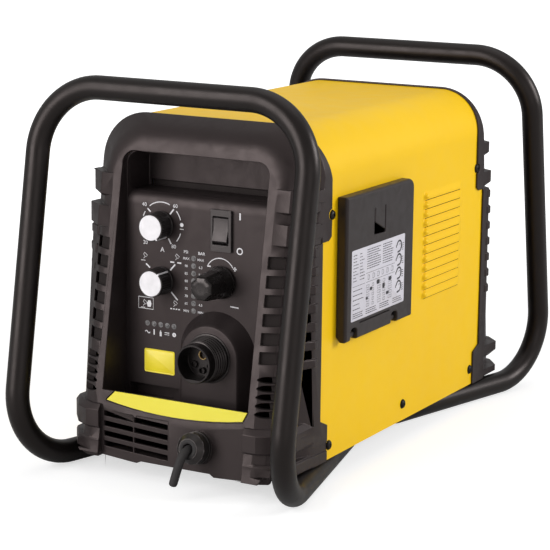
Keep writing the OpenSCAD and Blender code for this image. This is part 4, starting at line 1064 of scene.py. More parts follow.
# pressure knob: turn arrows, and a small line that marks its pull to unlock
stroke(dial, arc_points(24.2, 192.6, 15.3, 30, 150, 30), 0.8)
stroke(dial, [(10.2, 199.4), (14.0, 199.4)], 1.2)
for ends in (((37.7, 199.4), (41.5, 199.4)), ((39.6, 197.5), (39.6, 201.3))):
    stroke(dial, ends, 1.2)
stroke(dial, [(34.9, 164.3), (43.8, 163.8)], 1.2)
stroke(dial, [(44.7, 251.4), (44.7, 245.1)], 1.5)
stroke(dial, arc_points(44.6, 216.4, 2.7, 0, 360, 28), 1.1)
# pressure scales beside the column of lamps
lamp_top, lamp_pitch = 204.7, 7.04
lamp_z = [lamp_top - lamp_pitch * k for k in range(8)]
lettering(dial, "PSI", -12.6, 209.9, 2.9, 0.03)
lettering(dial, "BAR", 4.2, 209.9, 2.9, 0.03)
for z, left_word, right_word in zip(
    lamp_z,
    ("MAX", "90", "85", "80", "75", "70", "65", "MIN"),
    ("MAX", "6.3", "5.9", "5.5", "5.2", "4.8", "4.5", "MIN"),
):
    lettering(dial, left_word, -12.3, z - 0.9, 2.4, 0.02)
    lettering(dial, right_word, 3.2, z - 0.9, 2.4, 0.02)
# status symbols: mains wave, over-heat, air bottle, direct current and fault
stroke(dial, [(-57.4 + 0.45 * k, 129.6 + 1.1 * math.sin(k * math.pi / 6)) for k in range(13)], 0.8)
stroke(dial, [(-47.5, 132.8), (-47.5, 127.6)], 1.3)
stroke(dial, [(-40.3, 132.6), (-40.3, 131.2)], 0.8)
patch(dial, [(-41.4, 126.9), (-39.2, 126.9), (-39.2, 130.8), (-39.9, 131.6), (-40.7, 131.6), (-41.4, 130.8)])
stroke(dial, [(-35.9, 131.0), (-30.9, 131.0)], 0.7)
for start in (-35.9, -34.0, -32.1):
    stroke(dial, [(start, 129.2), (start + 1.2, 129.2)], 0.7)
stroke(dial, arc_points(-25.4, 130.0, 1.3, 0, 360, 20), 1.5)
bmesh.ops.triangulate(dial_bm, faces=[f for f in dial_bm.faces if len(f.verts) > 4])
for face in dial_bm.faces:
    if face.normal.y > 0:
        face.normal_flip()
shaped("dial_printing", dial_bm, 35, ink_grey, "chassis")

# ---------------------------------------------------------------- indicator lamps
# Smoked plastic lenses pressed into the plate, unlit: each shows a rim round a small dome.
# All are turned from one profile, eight in the pressure scale and five over the status symbols.

lens_material, lens_tree, lens_shader = new_material("smoked lens")
lens_tint = noise(lens_tree, 260, 2)
toned(lens_tree, lens_shader, lens_tint, (0.10, 0.095, 0.095), (0.17, 0.16, 0.16), lens_tint, 0.2, 0.34)
bumps(lens_tree, lens_shader, [(noise(lens_tree, 1500, 2), 0.2, 0.00005)])
lens_profile = [
    (0, -5), (1.35, -5), (1.35, 0.1), (2.55, 0.12), (2.6, 0.25),
    (1.9, 0.32), (1.3, 0.25), (1.15, 0.7), (0.7, 1.0), (0, 1.1),
]


def out_of_plate(x, z, sunk=0.0):
    """A placement whose local z points straight out of the control plate's face."""
    return facing((x, plate_y + sunk, z), (0, -1, 0))


lens_bm = bmesh.new()
scale_x, status_x, status_z, status_pitch = -4.3, -54.7, 138.0, 7.3
lens_spots = [(scale_x, z) for z in lamp_z]
lens_spots += [(status_x + status_pitch * k, status_z) for k in range(5)]
for x, z in lens_spots:
    turned(lens_bm, lens_profile, 20, out_of_plate(x, z))
lens_set = closed(lens_bm)
shaped("indicator_lens_set", lens_set, 30, lens_material, "chassis", ["indicator_lenses"])

# ---------------------------------------------------------------- current and selector knobs
# Moulded knobs with shallow flutes, pushed on steel spindles. A white printed cap closes each front
# and carries a rib that points at the scale.


def satin(name, colour, roughness):
    """Smooth moulded plastic with faint wear in its sheen."""
    made, tree, shader = new_material(name)
    wear = noise(tree, 120, 5)
    lighter = tuple(min(1, c * 1.12) for c in colour)
    toned(tree, shader, wear, colour, lighter, wear, roughness - 0.05, roughness + 0.08)
    bumps(tree, shader, [(noise(tree, 1800, 2), 0.12, 0.00006)])
    shader.inputs["Specular Tint"].default_value = (1.0, 0.88, 0.86, 1)
    return made


knob_black = satin("black knob plastic", (0.010, 0.0095, 0.0095), 0.38)
cap_white = satin("white knob cap", (0.72, 0.70, 0.72), 0.40)
knob_profile = [
    (4.5, 1.9), (12.6, 1.9), (13.2, 2.3), (13.2, 3.0), (12.7, 3.4), (12.6, 5.0), (12.5, 18.6), (12.9, 19.4),
    (12.9, 19.9), (12.5, 20.3), (11.75, 20.3), (11.75, 18.5), (4.5, 18.5), (4.5, 1.9),
]
flutes, flute_depth, barrel_r = 36, 0.22, 12.2
for name, z in (("current", current_z), ("selector", selector_z)):
    knob_bm = bmesh.new()
    turned(knob_bm, knob_profile, 144, out_of_plate(current_x, z, 0.4))
    for vert in knob_bm.verts:
        reach = Vector((vert.co.x - current_x, 0, vert.co.z - z))
        if -214.6 < vert.co.y < -200 and reach.length > barrel_r:
            turn = math.atan2(reach.z, reach.x)
            vert.co += reach.normalized() * flute_depth * (math.cos(flutes * turn) - 0.3)
    bmesh.ops.remove_doubles(knob_bm, verts=knob_bm.verts, dist=0.001)
    body = name + "_control"
    shaped(name + "_knob_body", closed(knob_bm), 32, knob_black, body, [name + "_knob"])
    eased_piece(name + "_knob_cap", name + "_cap", 0.35, cap_white, body, "cap_white", 3)

# ---------------------------------------------------------------- pressure knob
# Tapered knob of the air regulator, in glossy black plastic, pulled out and then turned.
# It is a turned form pressed in between eight ridges, and rides on the body that pulls out.

grip_black = satin("black grip plastic", (0.0085, 0.0078, 0.0076), 0.26)
grip_profile = [
    (5.0, 1.25), (14.9, 1.25), (15.3, 1.7), (15.3, 3.4), (14.6, 4.2), (14.3, 6.0),
    (11.9, 33.0), (11.5, 35.0), (10.6, 36.3), (9.0, 37.0), (5.0, 37.0), (0, 36.6),
]
grip_ridges, grip_hollow, grip_from = 8, 0.085, 4.5
grip_bm = bmesh.new()
turned(grip_bm, grip_profile, 128, Matrix.Identity(4))
for vert in grip_bm.verts:
    if vert.co.z > grip_from and vert.co.xy.length > 8.5:
        turn = math.atan2(vert.co.y, vert.co.x)
        pressed = abs(math.cos(grip_ridges / 2 * turn))
        along = min(1.0, (vert.co.z - grip_from) / 6.0)
        vert.co.xy *= 1 - grip_hollow * pressed * along
closed(grip_bm)
bmesh.ops.transform(grip_bm, matrix=out_of_plate(pressure_x, pressure_z), verts=grip_bm.verts)
shaped("pressure_knob_grip", grip_bm, 30, grip_black, "pressure_grip", ["pressure_knob"])

# ---------------------------------------------------------------- power switch
# Snap-in rocker switch: a satin frame round a plain curved rocker.
# Both are black plastic, eased from their own solids.

frame_black = satin("black switch frame", (0.030, 0.027, 0.027), 0.42)
rocker_black = satin("black rocker plastic", (0.020, 0.0175, 0.018), 0.40)
eased_piece("switch_frame", "rocker_frame", 0.5, frame_black, "chassis", "switch_black")
eased_piece("switch_rocker", "power_rocker", 0.45, rocker_black, "rocker", "switch_black")

# ---------------------------------------------------------------- hand hold
# Deep pocket over the dials that the fingers reach into; one moulding with the control plate.
# Its front edge is a rounded sill, and a thin dark sheet stands behind its slot as painted shade, so the slot
# reads dark.

eased_piece("hand_hold_pocket", "hand_pocket", 0.9, control_black, "chassis", "control_black", 3)

sill_loop = [
    (-196.06, 249), (-196.06, 251), (-195.7, 254), (-194.6, 257), (-192.8, 259.6), (-190.4, 261.4),
    (-187.6, 262.2), (-184, 262.25), (-184, 261.6), (-189.5, 260.6), (-193.6, 256.5),
    (-195.2, 251), (-195.3, 249),
]
sill_bm = prism([(-75.9, y, z) for y, z in sill_loop], (151.8, 0, 0))
# Painted shade: a thin dark sheet behind the pocket's slot, where the slot falls dark.
shade_sheet_loop = [(x, -158.2, z) for x, z in ((-73.5, 260.5), (73.5, 260.5), (73.5, 269), (-73.5, 269))]
shade_sheet_bm = prism(shade_sheet_loop, (0, 0.7, 0))
shaped("hand_hold_sill", sill_bm, 30, control_black, "chassis")
shaped("hand_hold_slot_liner", shade_sheet_bm, 30, slot_shade, "chassis")

# ---------------------------------------------------------------- torch socket
# Threaded quick-connect socket: a turned black collar with a D-shaped mouth and three sleeved contacts.
# The collar screws into the boss; the big gas contact is a brass tube.

socket_place = out_of_plate(socket_x, socket_z)
socket_flat = -14.2
thread_pitch, thread_turns = 3.0, 5
socket_profile = [(18, 15.6), (23.2, 15.6), (23.2, 16.6), (22.9, 17.1), (21.9, 17.3), (20.9, 17.4)]
for k in range(thread_turns):
    crest, foot = 21.5 - 0.5 * k, 17.8 + thread_pitch * k
    socket_profile += [
        (crest - 0.8, foot), (crest, foot + 0.6), (crest - 0.05, foot + 1.9), (crest - 0.9, foot + 2.5),
    ]
socket_profile += [
    (19.2, 33.2), (19.2, 34.0), (18.2, 34.5), (18.1, 42.4), (17.8, 43.5), (17.2, 44.0),
    (16.5, 44.0), (16.0, 43.6), (15.9, 43.0), (15.9, 26.3), (15.6, 26.0), (0, 26.0),
]
contacts = [(1.5, 6, 4.6), (-8.5, -4, 2.2), (8.5, -4, 2.2), (0, -9, 2.2)]

socket_black = satin("black socket plastic", (0.0040, 0.0036, 0.0036), 0.36)
socket_bm = bmesh.new()
turned(socket_bm, socket_profile, 96, Matrix.Identity(4))
for vert in socket_bm.verts:
    if vert.co.z > 26 and vert.co.xy.length < 17 and vert.co.y < socket_flat:
        vert.co.y = socket_flat
for x, y, r in contacts[1:]:
    sleeve = ((1.1, 25.9), (1.1, 28.4), (0.7, 28.8), (0.3, 28.8), (0.1, 28.5), (0.1, 25.9))
    turned(socket_bm, [(r + wider, h) for wider, h in sleeve], 24, Matrix.Translation((x, y, 0)))
closed(socket_bm)
bmesh.ops.transform(socket_bm, matrix=socket_place, verts=socket_bm.verts)
shaped("torch_socket_collar", socket_bm, 32, socket_black, "chassis", ["torch_socket"])


def metal(name, colour, darker, roughness, grain=900, streak=(1, 1, 1), depth=0.00004, strength=0.2):
    """Bare or plated metal: cloudy tarnish, tool marks along one way and roughness that wanders."""
    made, tree, shader = new_material(name)
    place = tree.nodes.new("ShaderNodeMapping")
    place.inputs["Scale"].default_value = streak
    tree.links.new(tree.nodes.new("ShaderNodeTexCoord").outputs["Object"], place.inputs["Vector"])
    cloud = noise(tree, 85, 6, 0.8)
    marks = noise(tree, grain, 3, 0, place.outputs["Vector"])
    toned(tree, shader, cloud, darker, colour, marks, roughness - 0.08, roughness + 0.1)
    bumps(tree, shader, [(marks, strength, depth)])
    shader.inputs["Metallic"].default_value = 1.0
    return made


brass = metal("turned brass", (0.40, 0.27, 0.12), (0.22, 0.15, 0.06), 0.38)
pin_bm = bmesh.new()
for x, y, r in contacts:
    local = Matrix.Translation((x, y, 0))
    if r > 3:
        tube = [(3.4, 20), (3.4, 28.7), (3.7, 29.0), (4.3, 29.0), (4.6, 28.6), (4.6, 20), (3.4, 20)]
        turned(pin_bm, tube, 48, local)
        turned(pin_bm, [(0, 22.5), (3.4, 22.5)], 48, local)
    else:
        turned(pin_bm, [(r, 20), (r, 23.6), (r - 0.5, 24.4), (r - 1.2, 24.8), (0, 24.9)], 24, local)
closed(pin_bm)
bmesh.ops.transform(pin_bm, matrix=socket_place, verts=pin_bm.verts)
shaped("socket_contacts", pin_bm, 32, brass, "chassis", ["socket_pins"])

# ---------------------------------------------------------------- work lead gland
# Nylon cable gland: flange and lock nut on a thread, twelve-sided dome nut and a rubber seal
# that grips the work lead.

gland_black = satin("black gland nylon", (0.0125, 0.0115, 0.0115), 0.36)
eased_piece("gland_flange", "gland_body", 0.5, gland_black, "chassis", "rubber_black", 3)
eased_piece("gland_dome_nut", "gland_nut", 0.7, gland_black, "chassis", "rubber_black", 3)
seal_profile = [(9.2, 14.0), (9.0, 16.6), (8.6, 17.5), (7.4, 18.0)]
seal_profile += [(6.0, 17.8), (5.1, 17.1), (5.0, 14.0), (9.2, 14.0)]
seal_bm = bmesh.new()
turned(seal_bm, seal_profile, 48, facing(gland_origin, gland_out))
shaped("gland_seal", closed(seal_bm), 40, rubber_black, "chassis")

# ---------------------------------------------------------------- name strip and face label
# Yellow moulded strip clipped in the front panel, and a small film label stuck on the control plate.
# Both are left bare; a fine groove runs round the label inside its rim.


def film(name, colour, deeper, roughness, coat=0.3):
    """Glossy printed film or plastic, with faint print mottling and fine dust in its sheen."""
    made, tree, shader = new_material(name)
    mottle = noise(tree, 40, 4, 0.5)
    dust = noise(tree, 700, 4)
    toned(tree, shader, mottle, deeper, colour, dust, roughness - 0.05, roughness + 0.1)
    bumps(tree, shader, [(noise(tree, 1500, 2), 0.08, 0.00005)])
    shader.inputs["Coat Weight"].default_value = coat
    shader.inputs["Coat Roughness"].default_value = 0.2
    return made


strip_yellow = film("yellow strip", (0.71, 0.62, 0.011), (0.70, 0.60, 0.010), 0.46, 0.05)
eased_piece("name_strip_moulding", "name_strip", 0.5, strip_yellow, "chassis", "label_yellow", 3)


def rounded_corners(low, high, inset, reach):
    """Points round a rectangle that is set in by a distance, with its corners rounded to a radius."""
    points = []
    corners = ((high[0], high[1]), (low[0], high[1]), (low[0], low[1]), (high[0], low[1]))
    for k, (u, v) in enumerate(corners):
        middle_u = u + (inset + reach) * (-1 if u == high[0] else 1)
        middle_v = v + (inset + reach) * (-1 if v == high[1] else 1)
        points += arc_points(middle_u, middle_v, reach, 90 * k, 90 * k + 90, 6)
    return points


def stacked(loops):
    """Joins equal loops of points into one closed skin, with a face on each end."""
    bm = bmesh.new()
    rings = [[bm.verts.new(p) for p in loop] for loop in loops]
    for a, b in zip(rings, rings[1:]):
        for k in range(len(a)):
            n = (k + 1) % len(a)
            bm.faces.new((a[k], a[n], b[n], b[k]))
    bm.faces.new(rings[-1])
    bm.faces.new(rings[0][::-1])
    return closed(bm)


label_low, label_high, label_corner = (-58.1, 91.1), (-24.8, 113.7), 1.6
label_steps = [(0.0, 0.02), (0.0, 0.28), (0.12, 0.38), (0.9, 0.40), (1.1, 0.31), (1.35, 0.31), (1.55, 0.40)]
label_bm = stacked([
    [(x, plate_y - out, z) for x, z in rounded_corners(
        label_low, label_high, inset, label_corner - min(inset, label_corner * 0.7))]
    for inset, out in label_steps
])
label_yellow = film("yellow label film", (0.88, 0.72, 0.02), (0.84, 0.67, 0.018), 0.42)
shaped("face_label_film", label_bm, 30, label_yellow, "chassis", ["face_label"])

# ---------------------------------------------------------------- screws
# Pan-head screws with a cross recess hold the cover and the fan. A node tree sets one turned screw
# on every spot, faces it outward and gives it its own turn.

head_r, head_h = 4.2, 1.4
side_spots_low = [(-2, 39), (-156, 36), (157, 39)]
side_spots_high = [(-156, 251), (160, 252)]
fan_mid_z, fan_pitch = 205.0, 52.5


def screw_mesh(name, r, edge, dome, shank_r, shank):
    """A pan-head screw standing on z = 0: shank below, domed head, cross recess cut."""
    bm = bmesh.new()
    profile = [
        (0, -shank), (shank_r * 0.6, -shank), (shank_r, -shank + 1), (shank_r, 0), (r + 0.55, 0),
        (r + 0.6, 0.15), (r + 0.4, 0.4), (r, 0.45), (r, edge - 0.3), (r - 0.25, edge + 0.1),
        (r - 0.9, edge + dome * 0.55), (r - 1.7, edge + dome * 0.85), (r * 0.45, edge + dome),
    ]
    turned(bm, profile, 32, Matrix.Identity(4))
    rim = [v for v in bm.verts if abs(v.co.z - edge - dome) < 1e-6]
    rim.sort(key=lambda v: math.atan2(v.co.y, v.co.x))
    arm, half = r * 0.42, r * 0.11
    cross = [(arm, -half), (arm, half), (half, half), (half, arm), (-half, arm), (-half, half),
             (-arm, half), (-arm, -half), (-half, -half), (-half, -arm), (half, -arm), (half, -half)]
    top = [bm.verts.new((x, y, edge + dome)) for x, y in cross]
    low = [bm.verts.new((x * 0.75, y * 0.75, edge + dome - 1.1)) for x, y in cross]
    for k in range(12):
        n = (k + 1) % 12
        bm.faces.new((top[k], low[k], low[n], top[n]))
    bm.faces.new(low)
    edges = [bm.edges.get((rim[k], rim[(k + 1) % len(rim)])) for k in range(len(rim))]
    edges += [bm.edges.get((top[k], top[(k + 1) % 12])) for k in range(12)]
    bmesh.ops.triangle_fill(bm, use_beauty=True, use_dissolve=False, edges=edges, normal=(0, 0, 1))
    for face in [f for f in bm.faces if all(v in top for v in f.verts)]:
        middle = face.calc_center_median()
        if (abs(middle.x) < half and abs(middle.y) < arm) or (abs(middle.y) < half and abs(middle.x) < arm):
            bm.faces.remove(face)
    return mesh_of(name, closed(bm), 32)


def screw_tree():
    """Sets one screw on every spot; its outward way is mirrored by the side that it is on."""
    tree = bpy.data.node_groups.new("screws on spots", "GeometryNodeTree")
    names = {
        "spots": tree_socket(tree, "Spots", "NodeSocketGeometry"),
        "screw": tree_socket(tree, "Screw", "NodeSocketObject"),
        "way": tree_socket(tree, "Outward way", "NodeSocketVector"),
        "seed": tree_socket(tree, "Seed", "NodeSocketInt", 5),
        "material": tree_socket(tree, "Material", "NodeSocketMaterial"),
    }
    tree_socket(tree, "Screws", "NodeSocketGeometry", out=True)
    n = tree.nodes.new
    given, result = n("NodeGroupInput"), n("NodeGroupOutput")
    points, place = n("GeometryNodeMeshToPoints"), n("GeometryNodeInstanceOnPoints")
    real = n("GeometryNodeRealizeInstances")
    screw, finish = n("GeometryNodeObjectInfo"), n("GeometryNodeSetMaterial")
    spot, parts = n("GeometryNodeInputPosition"), n("ShaderNodeSeparateXYZ")
    side, mirrored = n("ShaderNodeMath"), n("ShaderNodeCombineXYZ")
    outward, aim = n("ShaderNodeVectorMath"), n("FunctionNodeAlignRotationToVector")
    spin, by_hand = n("FunctionNodeRandomValue"), n("FunctionNodeRotateRotation")
    lone_z, spun = n("ShaderNodeCombineXYZ"), n("FunctionNodeEulerToRotation")
    side.operation, outward.operation, aim.axis = "SIGN", "MULTIPLY", "Z"
    spin.data_type, by_hand.rotation_space = "FLOAT", "LOCAL"
    spin.inputs[2].default_value, spin.inputs[3].default_value = 0.0, 1.57
    mirrored.inputs[1].default_value = mirrored.inputs[2].default_value = 1.0
    wired(
        tree,
        (given, "Spots", points, "Mesh"),
        (given, "Screw", screw, "Object"),
        (spot, 0, parts, 0),
        (parts, 0, side, 0),
        (side, 0, mirrored, 0),
        (mirrored, 0, outward, 0),
        (given, "Outward way", outward, 1),
        (outward, 0, aim, "Vector"),
        (given, "Seed", spin, "Seed"),
        (spin, 1, lone_z, 2),
        (lone_z, 0, spun, 0),
        (aim, 0, by_hand, 0),
        (spun, 0, by_hand, 1),
        (points, 0, place, "Points"),
        (screw, "Geometry", place, "Instance"),
        (by_hand, 0, place, "Rotation"),
        (place, 0, real, 0),
        (real, 0, finish, "Geometry"),
        (given, "Material", finish, "Material"),
        (finish, "Geometry", result, "Screws"),
    )
    return tree, names


def screws(name, spots, way, screw, material, seed):
    """A set of screws as one plain mesh."""
    pattern = bpy.data.objects.new(name + "_pattern", screw)
    at = bpy.data.meshes.new(name + "_spots")
    at.from_pydata([tuple(c * MM for c in p) for p in spots], [], [])
    made = grown(name, at, screws_tree, {
        screws_inputs["screw"]: pattern,
        screws_inputs["way"]: way,
        screws_inputs["seed"]: seed,
        screws_inputs["material"]: material,
    })
    bpy.data.objects.remove(pattern)
    shade(made, 32)
    return made


screws_tree, screws_inputs = screw_tree()
steel_black = metal("black plated steel", (0.035, 0.033, 0.032), (0.022, 0.021, 0.021), 0.38, 500)
steel_zinc = metal("zinc plated steel", (0.56, 0.56, 0.54), (0.42, 0.42, 0.41), 0.36, 600)
cover_spots = [(side * cover_half_w, y, z) for side in (1, -1) for y, z in side_spots_low + side_spots_high]
cover_screw = screw_mesh("cover_screw", head_r, head_h, 1.0, 1.8, 7.0)
cover_set = screws("cover_screw_set", cover_spots, (1, 0, 0), cover_screw, steel_black, 5)
piece("cover_screw_set", cover_set, steel_black, "chassis", ["cover_screws"])
rear_out = Vector((0, 1, face_lean)).normalized()
rear_up = Vector((0, -face_lean, 1)).normalized()
fan_middle = Vector((0, face_foot - face_lean * fan_mid_z, fan_mid_z))
fan_spots = [
    fan_middle + Vector((sx * fan_pitch, 0, 0)) + rear_up * sz * fan_pitch + rear_out * 0.1
    for sx in (1, -1) for sz in (1, -1)
]
fan_screw = screw_mesh("fan_screw", 4.4, 0.7, 0.9, 2.0, 24.0)
fan_set = screws("fan_screw_set", fan_spots, tuple(rear_out), fan_screw, steel_black, 9)

# ---------------------------------------------------------------- consumables door
# Moulded door over a storage tray, hinged on two pins at its foot, with a sprung latch tongue cut in it.
# The parts chart on it is a printed film with plain bars and outlines in place of words.

door_black = moulded("black moulded door", (0.0175, 0.0155, 0.016), (0.0205, 0.018, 0.018), 0.42, 0.18)
knuckle = [
    (-6.8, 129), (-6.8, 139), (-5.2, 141.6), (-2.4, 142.6),
    (2.4, 142.6), (5.2, 141.6), (6.8, 139), (6.8, 129),
]
groove = [(127.3, y, z) for y, z in ((-119, 145.2), (-58, 145.2), (-58, 146.0), (-119, 146.0))]
door_steps = [
    ("DIFFERENCE", prism([(117.0, y + a, z) for a, z in knuckle], (13, 0, 0))) for y in (-130.0, -47.0)
]
door_steps.append(("DIFFERENCE", prism(groove, (2, 0, 0))))
door_shell = carved("consumables_door", solid_copy("side_door"), door_steps)
door_eased = eased("consumables_door", door_shell, 0.9, 3, clamp=False, merge=0.2)
piece("consumables_door", door_eased, door_black, "door", ["side_door"])
eased_piece("consumables_tray", "storage_box", 0.4, door_black, "chassis", "door_black")
eased_piece("door_hinge_pin_pair", "door_hinge_pins", 0.25, steel_zinc, "door", "steel_zinc")

chart_low, chart_high = (-137.0, 149.0), (-28.0, 215.4)
chart_x, chart_corner = 128.0, 1.4
chart_lilac = film("pale chart film", (0.66, 0.64, 0.70), (0.62, 0.60, 0.665), 0.36)
chart_bm = stacked([
    [(chart_x + raised, y, z) for y, z in rounded_corners(chart_low, chart_high, inset, chart_corner)]
    for inset, raised in ((0.0, 0.02), (0.0, 0.2), (0.15, 0.3))
])
shaped("parts_chart_film", chart_bm, 30, chart_lilac, "door", ["door_chart"])

on_door = Matrix(((0, 0, 1, chart_x + 0.34), (1, 0, 0, 0), (0, 1, 0, 0), (0, 0, 0, 1)))
chart_ink = printing_ink("dark chart ink", (0.035, 0.032, 0.04))
print_bm = bmesh.new()
chart = (print_bm, on_door)
shuffled = random.Random(11)


def box(y0, y1, z0, z1):
    """A filled bar on the chart."""
    patch(chart, [(y0, z0), (y1, z0), (y1, z1), (y0, z1)])


def text_bars(y0, y1, z0, z1, lines, height, short):
    """Rows of short bars that read as a block of fine print."""
    for row in range(lines):
        z = z1 - (z1 - z0) * (row + 0.5) / lines
        end = y1 - (y1 - y0) * shuffled.random() * short
        y = y0
        while y < end - 0.4:
            word = min(end - y, 0.9 + 3.2 * shuffled.random())
            box(y, y + word, z - height / 2, z + height / 2)
            y += word + 0.55


def frame_lines(y0, y1, z0, z1, width):
    """A ruled box."""
    for a, b in (((y0, z0), (y1, z0)), ((y1, z0), (y1, z1)), ((y1, z1), (y0, z1)), ((y0, z1), (y0, z0))):
        stroke(chart, [a, b], width)


for column in (-134.0, -121.0):
    text_bars(column, column + 10.5, 185.0, 212.0, 9, 0.75, 0.6)
text_bars(-106.5, -78.0, 193.0, 213.0, 9, 0.8, 0.2)
text_bars(-74.5, -50.0, 193.0, 213.0, 9, 0.8, 0.3)
for z in (181.5, 190.0):
    stroke(chart, [(-108, z), (-49, z)], 0.35)
stroke(chart, [(-135, 181.5), (-110, 181.5)], 0.35)
for k in range(6):
    y = -104.5 + 9.6 * k
    body, nose = 2.2 + 0.5 * (k % 3), 1.2 + 0.3 * (k % 2)
    tip_y = y + body + nose
    outline = [(y, 183.6), (y, 188.0), (y + body, 188.0), (tip_y, 187.0)]
    outline += [(tip_y, 184.6), (y + body, 183.6), (y, 183.6)]
    stroke(chart, outline, 0.4)
    stroke(chart, [(y + body, 183.6), (y + body, 188.0)], 0.3)
for k in range(5):
    z = 177.4 - 4.4 * k
    text_bars(-134.0, -112.0, z - 1.2, z + 1.2, 1, 0.8, 0.5)
    y = -107.0
    for size in (5.5, 3.8, 6.6, 4.6, 7.0):
        frame_lines(y, y + size, z - 1.3, z + 1.3, 0.32)
        stroke(chart, [(y + size * 0.6, z - 1.3), (y + size * 0.6, z + 1.3)], 0.28)
        y += 11.2
for row in range(4):
    z = 203.5 - 13.0 * row
    hook_end = [(-38.0, z - 3.4), (-43.5, z - 4.2)]
    stroke(chart, arc_points(-40.0, z + 1.5, 5.0, 170, -30, 16) + hook_end, 1.8)
    stroke(chart, arc_points(-38.6, z + 1.0, 2.4, 150, -60, 12), 0.5)
    box(-47.0, -45.4, z + 0.6, z + 3.0)
    text_bars(-34.0, -30.0, z - 4.0, z + 4.0, 4, 0.8, 0.2)
for y, z, w, h in (
    (-100.0, 172.5, 4.4, 3.2), (-86.0, 176.0, 5.2, 4.2), (-74.0, 170.0, 4.0, 5.0),
    (-61.0, 175.0, 4.8, 3.6), (-108.0, 165.0, 3.6, 2.6), (-66.0, 162.5, 5.0, 3.0),
):
    nut = ((0, 0), (w, 0), (w * 1.15, h * 0.5), (w, h), (0, h), (-w * 0.12, h * 0.5))
    patch(chart, [(y + a, z + b) for a, b in nut])
for y0, y1 in ((-134.0, -112.0), (-108.0, -84.0), (-80.0, -56.0), (-52.0, -31.0)):
    text_bars(y0, y1, 151.0, 156.8, 3, 0.75, 0.3)
shaped("parts_chart_printing", print_bm, 30, chart_ink, "door")

# ---------------------------------------------------------------- rear panel fittings
# Axial fan behind the rear grille, the air inlet and the gland of the mains cord.
# Black plastic, zinc plated steel, brass and black nylon, each eased from its own solid.

fan_black = satin("black fan frame", (0.018, 0.017, 0.017), 0.5)
eased_piece("fan_housing", "fan_frame", 0.4, fan_black, "chassis", "panel_black")
eased_piece("fan_impeller", "fan_rotor", 0.3, fan_black, "fan", "panel_black")
eased_piece("fan_motor_can", "fan_motor", 0.3, steel_zinc, "chassis", "steel_zinc", 3)
piece("fan_screw_set", fan_set, steel_black, "chassis", ["fan_screws"])
eased_piece("air_inlet_fitting", "air_inlet", 0.4, brass, "chassis", "brass", 3)
eased_piece("mains_cord_gland", "mains_gland", 0.5, gland_black, "chassis", "rubber_black", 3)

# ---------------------------------------------------------------- floor tray and feet
# Folded galvanised tray that carries the works, with the bolts that hold it down on the hoops.
# Both are eased from their own solids; the bolts are zinc plated steel.

galvanised = metal(
    "galvanised sheet", (0.50, 0.51, 0.52), (0.36, 0.37, 0.39), 0.42, 120, (1, 1, 1), 0.0001, 0.12)
eased_piece("floor_tray", "base_pan", 0.4, galvanised, "chassis", "steel_galvanised")
eased_piece("foot_bolt_set", "foot_bolts", 0.3, steel_zinc, "chassis", "steel_zinc")

# ---------------------------------------------------------------- works inside
# Controls' bodies, air regulator and valve, boards, transformer, choke, heat sink and capacitors,
# each eased from its solid and given the look of its own stuff.


def wound(name, colour, darker, pitch):
    """Enamelled wire laid in turns: fine ridges up the coil with a varnish gloss."""
    made, tree, shader = new_material(name)
    turns = tree.nodes.new("ShaderNodeTexWave")
    turns.bands_direction = "Z"
    turns.inputs["Scale"].default_value = pitch
    turns.inputs["Distortion"].default_value = 0.6
    tree.links.new(tree.nodes.new("ShaderNodeTexCoord").outputs["Object"], turns.inputs["Vector"])
    toned(tree, shader, turns.outputs[1], darker, colour, noise(tree, 200, 4), 0.25, 0.45)
    bumps(tree, shader, [(turns.outputs[1], 0.5, 0.0004)])
    shader.inputs["Coat Weight"].default_value = 0.3
    return made


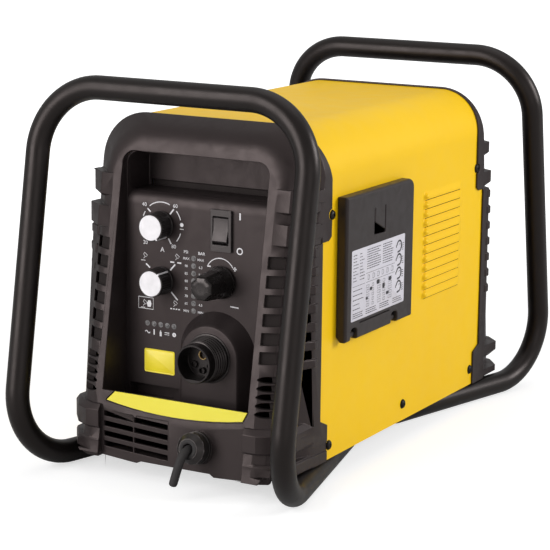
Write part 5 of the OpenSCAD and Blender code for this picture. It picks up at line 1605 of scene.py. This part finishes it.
def circuit_board(name):
    """Solder-masked board: dark and light green tracks under a thin gloss."""
    made, tree, shader = new_material(name)
    tracks = tree.nodes.new("ShaderNodeTexVoronoi")
    tracks.distance = "MANHATTAN"
    tracks.inputs["Scale"].default_value = 220
    tree.links.new(tree.nodes.new("ShaderNodeTexCoord").outputs["Object"], tracks.inputs["Vector"])
    dark_green, light_green = (0.008, 0.05, 0.02), (0.014, 0.095, 0.035)
    toned(tree, shader, tracks.outputs[0], dark_green, light_green, noise(tree, 350, 3), 0.28, 0.42)
    bumps(tree, shader, [(tracks.outputs[0], 0.3, 0.0001)])
    return made


aluminium = metal("extruded aluminium", (0.72, 0.73, 0.74), (0.60, 0.61, 0.63), 0.38, 700, (1, 0.05, 1))
core_steel = metal(
    "laminated core", (0.22, 0.215, 0.22), (0.13, 0.13, 0.135), 0.5, 1300, (0.03, 1, 0.03), 0.0002, 0.5)
coil_brown = wound("enamelled winding", (0.32, 0.11, 0.03), (0.16, 0.05, 0.014), 160)
board_green = circuit_board("green circuit board")
sleeve_dark = film("capacitor sleeve", (0.012, 0.014, 0.03), (0.009, 0.010, 0.022), 0.3)
pipe_blue = film("blue nylon pipe", (0.012, 0.06, 0.24), (0.010, 0.05, 0.20), 0.28)
inner_pieces = [
    ("current_potentiometer", "current_pot", 0.3, steel_zinc, "chassis", "steel_zinc"),
    ("current_shaft", "current_spindle", 0.15, steel_zinc, "current_control", "steel_zinc"),
    ("selector_rotary_switch", "selector_switch", 0.3, gland_black, "chassis", "switch_black"),
    ("selector_shaft", "selector_spindle", 0.15, steel_zinc, "selector_control", "steel_zinc"),
    ("regulator_body", "air_regulator", 0.5, aluminium, "chassis", "aluminium"),
    ("regulator_screw", "pressure_spindle", 0.15, brass, "pressure_screw", "brass"),
    ("control_circuit", "control_board", 0.12, board_green, "chassis", "board_green"),
    ("power_circuit", "power_board", 0.2, board_green, "chassis", "board_green"),
    ("finned_heat_sink", "heat_sink", 0.25, aluminium, "chassis", "aluminium"),
    ("transformer_core", "main_transformer", 0.5, core_steel, "chassis", "core_steel"),
    ("transformer_windings", "transformer_coils", 1.2, coil_brown, "chassis", "copper_winding"),
    ("output_choke", "output_inductor", 0.6, coil_brown, "chassis", "copper_winding"),
    ("smoothing_capacitors", "capacitors", 0.8, sleeve_dark, "chassis", "capacitor_sleeve"),
    ("air_solenoid", "solenoid_valve", 0.4, brass, "chassis", "brass"),
    ("air_hose", "air_pipe", 0.1, pipe_blue, "chassis", "pipe_blue"),
]
for row in inner_pieces:
    eased_piece(*row)
